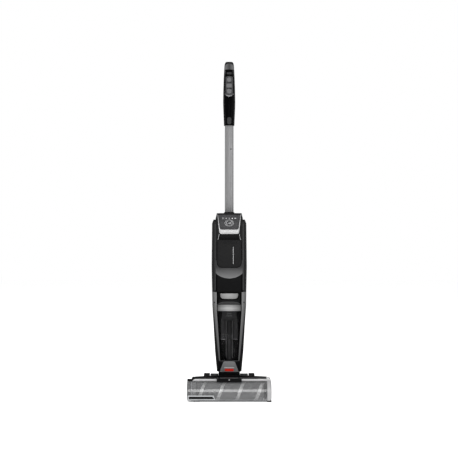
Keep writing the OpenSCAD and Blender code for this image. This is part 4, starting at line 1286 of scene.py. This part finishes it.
def make_grip_seams():
    """A fine inlaid line down each side of the grip where its halves meet."""
    for side, name in SIDES:
        path = []
        for z in spaced(GRIP_FOOT + 3, PANEL_HIGH[2] + 17, 30):
            path.append(GRIP.place(side * (widest(z) - 4.2), z, 0.0))
        sweep("grip_line_" + name, path, 0.5, "upright", "charcoal_plastic", SEAM_GREY)


def widest(z):
    """Half the grip's width at a height."""
    hit = GRIP.tree.ray_cast(Vector((-0.1, 0.042, z * MM)), Vector((1, 0, 0)))[0]
    return -hit.x / MM if hit else 15.0


def make_wand_mark():
    """Small dark latch mark on the tube just below the grip."""
    tube = Front("wand_tube")
    outline = box_outline((2.2, 815), (8.8, 818.6), 1.7, 4)
    plate("wand_mark", outline, tube.place, (-0.5, 0.3), 0.2, "upright", "charcoal_plastic", PANEL_GREY, 1.5)


# ---- Back and underside ----

VENT_FOOT = 428.0            # height of the lowest louvre
VENT_PITCH = 7.5
RIB_FOOT = 166               # height of the clean tank's lowest rib
RIB_PITCH = 7
LEVEL_STRIP = ((26, 215), (30, 335))         # opposite corners
CONTACT_Z = 98.0
SCREW_SPOTS = [(-38, 500), (38, 500), (-38, 420), (38, 420), (-32, 112), (32, 112), (0, 1066), (0, 965)]
SCREW_HEAD = [(3.4, -0.6), (3.4, 0.3), (3.0, 0.6), (1.5, 0.6), (1.2, 0.1)]     # its profile: radius and rise


def make_vents():
    """Louvres on the upper back, over the motor's air outlet."""
    shell = Back("rear_housing")
    for i in range(6):
        z = VENT_FOOT + VENT_PITCH * i
        half = 20 - abs(i - 2.5) * 1.2
        louvre = even_outline((half, z - 1.5), (half, z + 1.5), 1.4, 3)
        plate("vent_louvre_%d" % (i + 1), louvre, shell.place, (-0.6, 0.9), 0.5, "upright", "black_plastic")


def make_screws():
    """Round screw heads with a driver recess on the back of the housing and of the grip."""
    shell = Back("rear_housing", "grip_rear")
    for i, (x, z) in enumerate(SCREW_SPOTS):
        y = shell.y(x, z)
        rings = []
        for radius, rise in SCREW_HEAD:
            rings.append([(u, y + rise, v) for u, v in circle_points((x, z), radius, 24)])
        points, faces = join_rings(rings)
        finish_piece("back_screw_%d" % (i + 1), points, faces, "upright", "steel")


def make_tank_ribs():
    """Grip ribs across the foot of the clean water tank, and its level strip."""
    tank = Back("clean_tank")
    for i in range(4):
        z = RIB_FOOT + RIB_PITCH * i
        half = 22 - i
        cross_bar("tank_rib_%d" % (i + 1), tank.place, (-half, half), z, 0.0, 0.9, "clean_tank", "smoke_tank",
                  CLEAN_SMOKE, 16)
    strip = box_outline(*LEVEL_STRIP, 1.9, 4)
    plate("level_strip", strip, tank.place, (-0.4, 0.4), 0.25, "clean_tank", "clear_window", FROSTED, 5.0)


def make_contacts():
    """Two charging contacts in a pad at the back of the housing's foot."""
    foot = Back("rear_housing")
    pad = even_outline((17, CONTACT_Z - 6), (17, CONTACT_Z + 6), 4)
    plate("contact_pad", pad, foot.place, (-0.6, 0.7), 0.4, "upright", "black_plastic", step=3.0)
    for side, name in SIDES:
        tip = circle_points((side * 8, CONTACT_Z), 2.4, 20)
        plate("contact_" + name, tip, foot.place, (0.3, 1.4), 0.5, "upright", "steel", step=2.0)


make_camera()
make_studio()
dress_cad_nodes()
make_roller_pile()
make_roller_stripe()
make_window()
make_window_trim()
make_window_corner()
make_label()
make_latch()
make_belt_guard()
make_end_felt()
make_hose_pleats()
make_neck_shoulders()
make_head_crest()
make_end_caps()
make_tyre("left")
make_tyre("right")
make_display()
make_rail_strips()
make_pull_highlights()
make_cover_details()
make_release_pad()
make_lid_lips()
make_tank_inside()
make_badge()
make_cap_arch()
make_strut_plugs()
make_grip_arc()
make_grip_bands()
make_grip_patch()
make_grip_seams()
make_wand_mark()
make_vents()
make_screws()
make_tank_ribs()
make_contacts()
